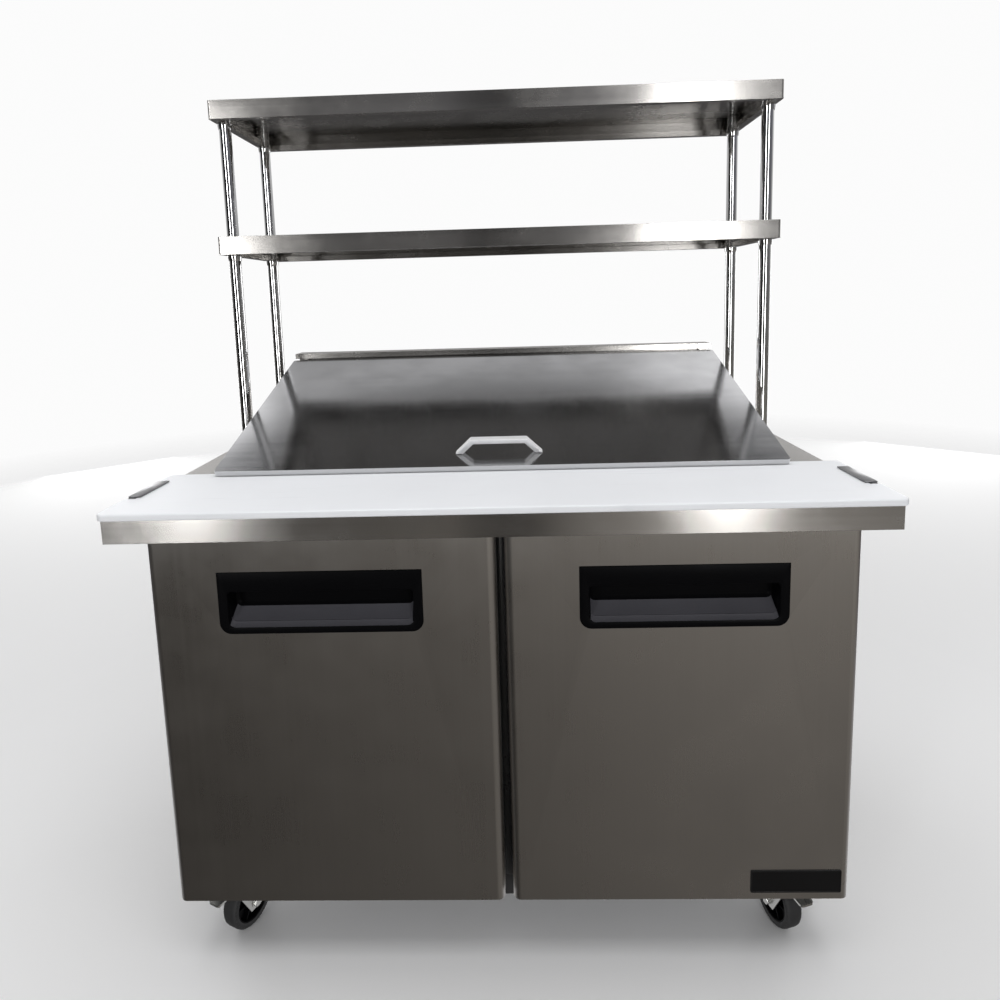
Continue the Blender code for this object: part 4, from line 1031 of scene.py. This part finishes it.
def make_panel_screws():
    low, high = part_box("back_panel")
    wide = high.x - low.x
    rows = (low.z + 0.04, (low.z + high.z) / 2, high.z - 0.04)
    spots = lattice((low.x + 0.02, high.x - 0.02), high.y, rows)
    spots += lattice([low.x + wide * i / 4 for i in (1, 2, 3)], high.y, [high.z - 0.02])
    screws("back_screws", spots, (0, 1, 0))
    low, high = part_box("rear_grille")
    spots = lattice((low.x + 0.015, high.x - 0.015), high.y, (low.z + 0.02, high.z - 0.02))
    columns = [low.x + (high.x - low.x) * share for share in (0.33, 0.67)]
    spots += lattice(columns, high.y, (low.z + 0.012, high.z - 0.012))
    screws("grille_screws", spots, (0, 1, 0))
    low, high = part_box("hood_frame")
    screws("hood_screws", lattice((-0.45, -0.15, 0.15, 0.45), high.y, [low.z + 0.02]), (0, 1, 0))
    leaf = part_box("face_frame")[0].y - HINGE_LEAF
    for side in SIDES:
        low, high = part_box(f"{side}_door_hinge_top")
        x = (low.x + high.x) / 2
        spots = lattice((x - 0.01, x + 0.01), leaf, [HINGE_SCREW_Z])
        screws(f"{side}_hinge_screws", spots, (0, -1, 0), 0.0032)


def make_mullion_shade_strip():
    """The black strip down the middle upright that shows between the doors, and the tab under it: painted shade
    for the gap between the doors.
    """
    low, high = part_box("face_frame")
    face = low.y - STRIP_THICK
    tab_top = low.z - 0.0035
    for name, half, bottom, top in (
        ("mullion_shade_strip", STRIP_HALF, low.z - 0.003, high.z - 0.002),
        ("mullion_shade_tab", TAB_HALF, tab_top - TAB_DROP, tab_top),
    ):
        corners = Vector((-half, 0, bottom)), Vector((half, 0, top))
        layers = ((0.0, low.y), (0.0, face + 0.0004), (0.0004, face))
        bm = bmesh.new()
        loft(bm, [upright_loop(*corners, inset, y, 0.0015, steps=3) for inset, y in layers])
        piece(name, bm, "table", "black_enamel", sharp=40)


def make_pieces():
    make_mullion_shade_strip()
    for side in SIDES:
        make_skin(side)
        make_pocket(side)
        make_seal(side)
    make_plate()
    make_clips()
    for side in SIDES:
        for where in ("front", "rear"):
            make_post(side, where)
    make_pans()
    for side in SIDES:
        make_wire_shelf(side)
    make_fin_pack("condenser", 0.004, 8)
    make_fin_pack("evaporator", 0.0045, 7)
    make_fan("condenser_fan", "condenser_rotor", 5, 0.024, "galvanised")
    make_fan("evaporator_fan", "evaporator_rotor", 4, 0.02, "handle_plastic")
    make_guard()
    make_compressor()
    make_inlet()
    make_knob()
    for where in CASTER_NAMES:
        make_wheel(where)
        make_caster_hardware(where)
    make_panel_screws()


# ---- Stage ----
FLOOR_HALF = 9.0
PAPER = (0.92, 0.92, 0.92)
FADE = (1.6, 6.0)  # distances between which the floor fades away


def make_floor():
    """A pale floor that fades into the pale background far from the table."""
    bm = bmesh.new()
    bmesh.ops.create_grid(bm, x_segments=1, y_segments=1, size=FLOOR_HALF)
    mesh = bpy.data.meshes.new("floor")
    bm.to_mesh(mesh)
    bm.free()
    floor = bpy.data.objects.new("floor", mesh)
    bpy.context.scene.collection.objects.link(floor)
    floor.visible_glossy = False
    tree, shader = new_material("floor_paper", 0.0, 0.8)
    shader.inputs["Base Color"].default_value = (*PAPER, 1)
    distance = add_node(tree, "VectorMath", {0: placed(tree)}, operation="LENGTH").outputs["Value"]
    clear = add_node(tree, "BsdfTransparent").outputs["BSDF"]
    mixed = add_node(tree, "MixShader", {0: span(tree, distance, 0.0, 1.0, *FADE)})
    tree.links.new(shader.outputs["BSDF"], mixed.inputs[1])
    tree.links.new(clear, mixed.inputs[2])
    tree.links.new(mixed.outputs[0], tree.nodes["Material Output"].inputs["Surface"])
    mesh.materials.append(MATERIALS["floor_paper"])


# What the steel mirrors in front of the table and behind it, as (place along the ramp, grey or colour).
# Height runs from straight down to straight up, and side from left to right.
FRONT_BY_HEIGHT = (
    (0.0, (0.05, 0.047, 0.043)), (0.12, (0.115, 0.107, 0.098)), (0.19, (0.165, 0.153, 0.142)),
    (0.202, (0.105, 0.098, 0.09)), (0.216, (0.16, 0.149, 0.138)), (0.3, (0.19, 0.177, 0.164)),
    (0.34, (0.245, 0.227, 0.208)), (0.4, (0.17, 0.16, 0.145)), (0.46, (0.11, 0.108, 0.1)),
    (0.54, (0.12, 0.12, 0.125)), (0.62, (0.12, 0.122, 0.14)), (0.74, (0.35, 0.35, 0.36)),
    (1.0, (1.0, 1.0, 1.0)),
)
BACK_BY_HEIGHT = (
    (0.0, (0.42, 0.42, 0.43)), (0.22, (0.55, 0.55, 0.56)), (0.31, (0.1, 0.095, 0.1)),
    (0.36, (0.07, 0.065, 0.07)), (0.44, (0.1, 0.094, 0.088)), (0.55, (0.4, 0.4, 0.4)),
    (0.78, (1.0, 1.0, 1.01)), (0.822, (2.3, 2.3, 2.33)), (0.83, (0.11, 0.11, 0.115)),
    (0.87, (0.15, 0.15, 0.155)), (1.0, (1.0, 1.0, 1.0)),
)
FRONT_BY_SIDE = (
    (0.0, 0.13), (0.27, 0.17), (0.4, 0.55), (0.458, 0.9), (0.474, 0.12), (0.514, 0.12), (0.53, 1.0),
    (0.62, 1.15), (1.0, 0.95),
)
BACK_BY_SIDE = ((0.0, 1.3), (0.3, 1.3), (0.35, 0.3), (0.56, 0.36), (0.61, 0.6), (0.7, 0.9), (1.0, 0.9))
HIGH_BAND = (0.6, 0.74)  # heights over which the back starts to differ from side to side
SEEN_PALE = (0.97, 0.97, 0.97, 1)


def ramped(tree, value, stops):
    node = add_node(tree, "ValToRGB", {"Fac": value})
    elements = node.color_ramp.elements
    while len(elements) < len(stops):
        elements.new(0.5)
    for element, (position, colour) in zip(elements, stops):
        element.position = position
        element.color = (*colour, 1) if isinstance(colour, tuple) else (colour, colour, colour, 1)
    return node.outputs["Color"]


def make_world():
    """A pale room for the eye. What the steel mirrors is darker and warmer low in front of the table."""
    world = bpy.data.worlds.new("studio")
    bpy.context.scene.world = world
    world.use_nodes = True
    tree = world.node_tree
    background = tree.nodes["Background"]
    direction = add_node(tree, "TexCoord").outputs["Generated"]
    axes = add_node(tree, "SeparateXYZ", {"Vector": direction})
    height = span(tree, axes.outputs["Z"], 0.0, 1.0, -1.0, 1.0)
    side = span(tree, axes.outputs["X"], 0.0, 1.0, -1.0, 1.0)
    levels, sides = ramped(tree, height, FRONT_BY_HEIGHT), ramped(tree, side, FRONT_BY_SIDE)
    front = layered(tree, 1.0, levels, sides, "MULTIPLY")
    levels, sides = ramped(tree, height, BACK_BY_HEIGHT), ramped(tree, side, BACK_BY_SIDE)
    back = layered(tree, span(tree, height, 0.0, 1.0, *HIGH_BAND), levels, sides, "MULTIPLY")
    facing_back = span(tree, axes.outputs["Y"], 0.0, 1.0, -0.25, 0.25)
    room = layered(tree, facing_back, front, back)
    seen = add_node(tree, "LightPath").outputs["Is Camera Ray"]
    tree.links.new(layered(tree, seen, room, SEEN_PALE), background.inputs["Color"])
    background.inputs["Strength"].default_value = 1.0


def area_light(name, location, target, size, power, roll=0.0, glossy=True):
    data = bpy.data.lights.new(name, "AREA")
    data.shape = "RECTANGLE"
    data.size, data.size_y = size
    data.energy = power
    light = bpy.data.objects.new(name, data)
    location = Vector(location)
    turn = (Vector(target) - location).to_track_quat("-Z", "Y").to_matrix().to_4x4()
    light.matrix_world = Matrix.Translation(location) @ turn @ Matrix.Rotation(math.radians(roll), 4, "Z")
    light.visible_glossy = glossy
    light.visible_camera = False
    bpy.context.scene.collection.objects.link(light)


def make_lights():
    area_light("overhead", (0.0, -0.6, 3.6), (0, 0, 0.9), (3.2, 2.4), 52.0, glossy=False)
    area_light("strip_right", (1.56, -4.6, 1.5), (0, 0, 1.1), (0.42, 3.2), 45.0)
    area_light("strip_left", (-2.67, -4.5, 1.5), (0, 0, 1.1), (0.46, 3.2), 46.0, 14.0)
    for x in (-3.1, 3.1):
        area_light(f"back_{'left' if x < 0 else 'right'}", (x, 3.8, 0.7), (0, 0, 0.7), (0.9, 2.0), 24.0)


def main():
    bpy.context.scene.view_settings.view_transform = "Standard"
    make_camera()
    make_finishes()
    dress_nodes()
    make_pieces()
    make_floor()
    make_world()
    make_lights()


main()
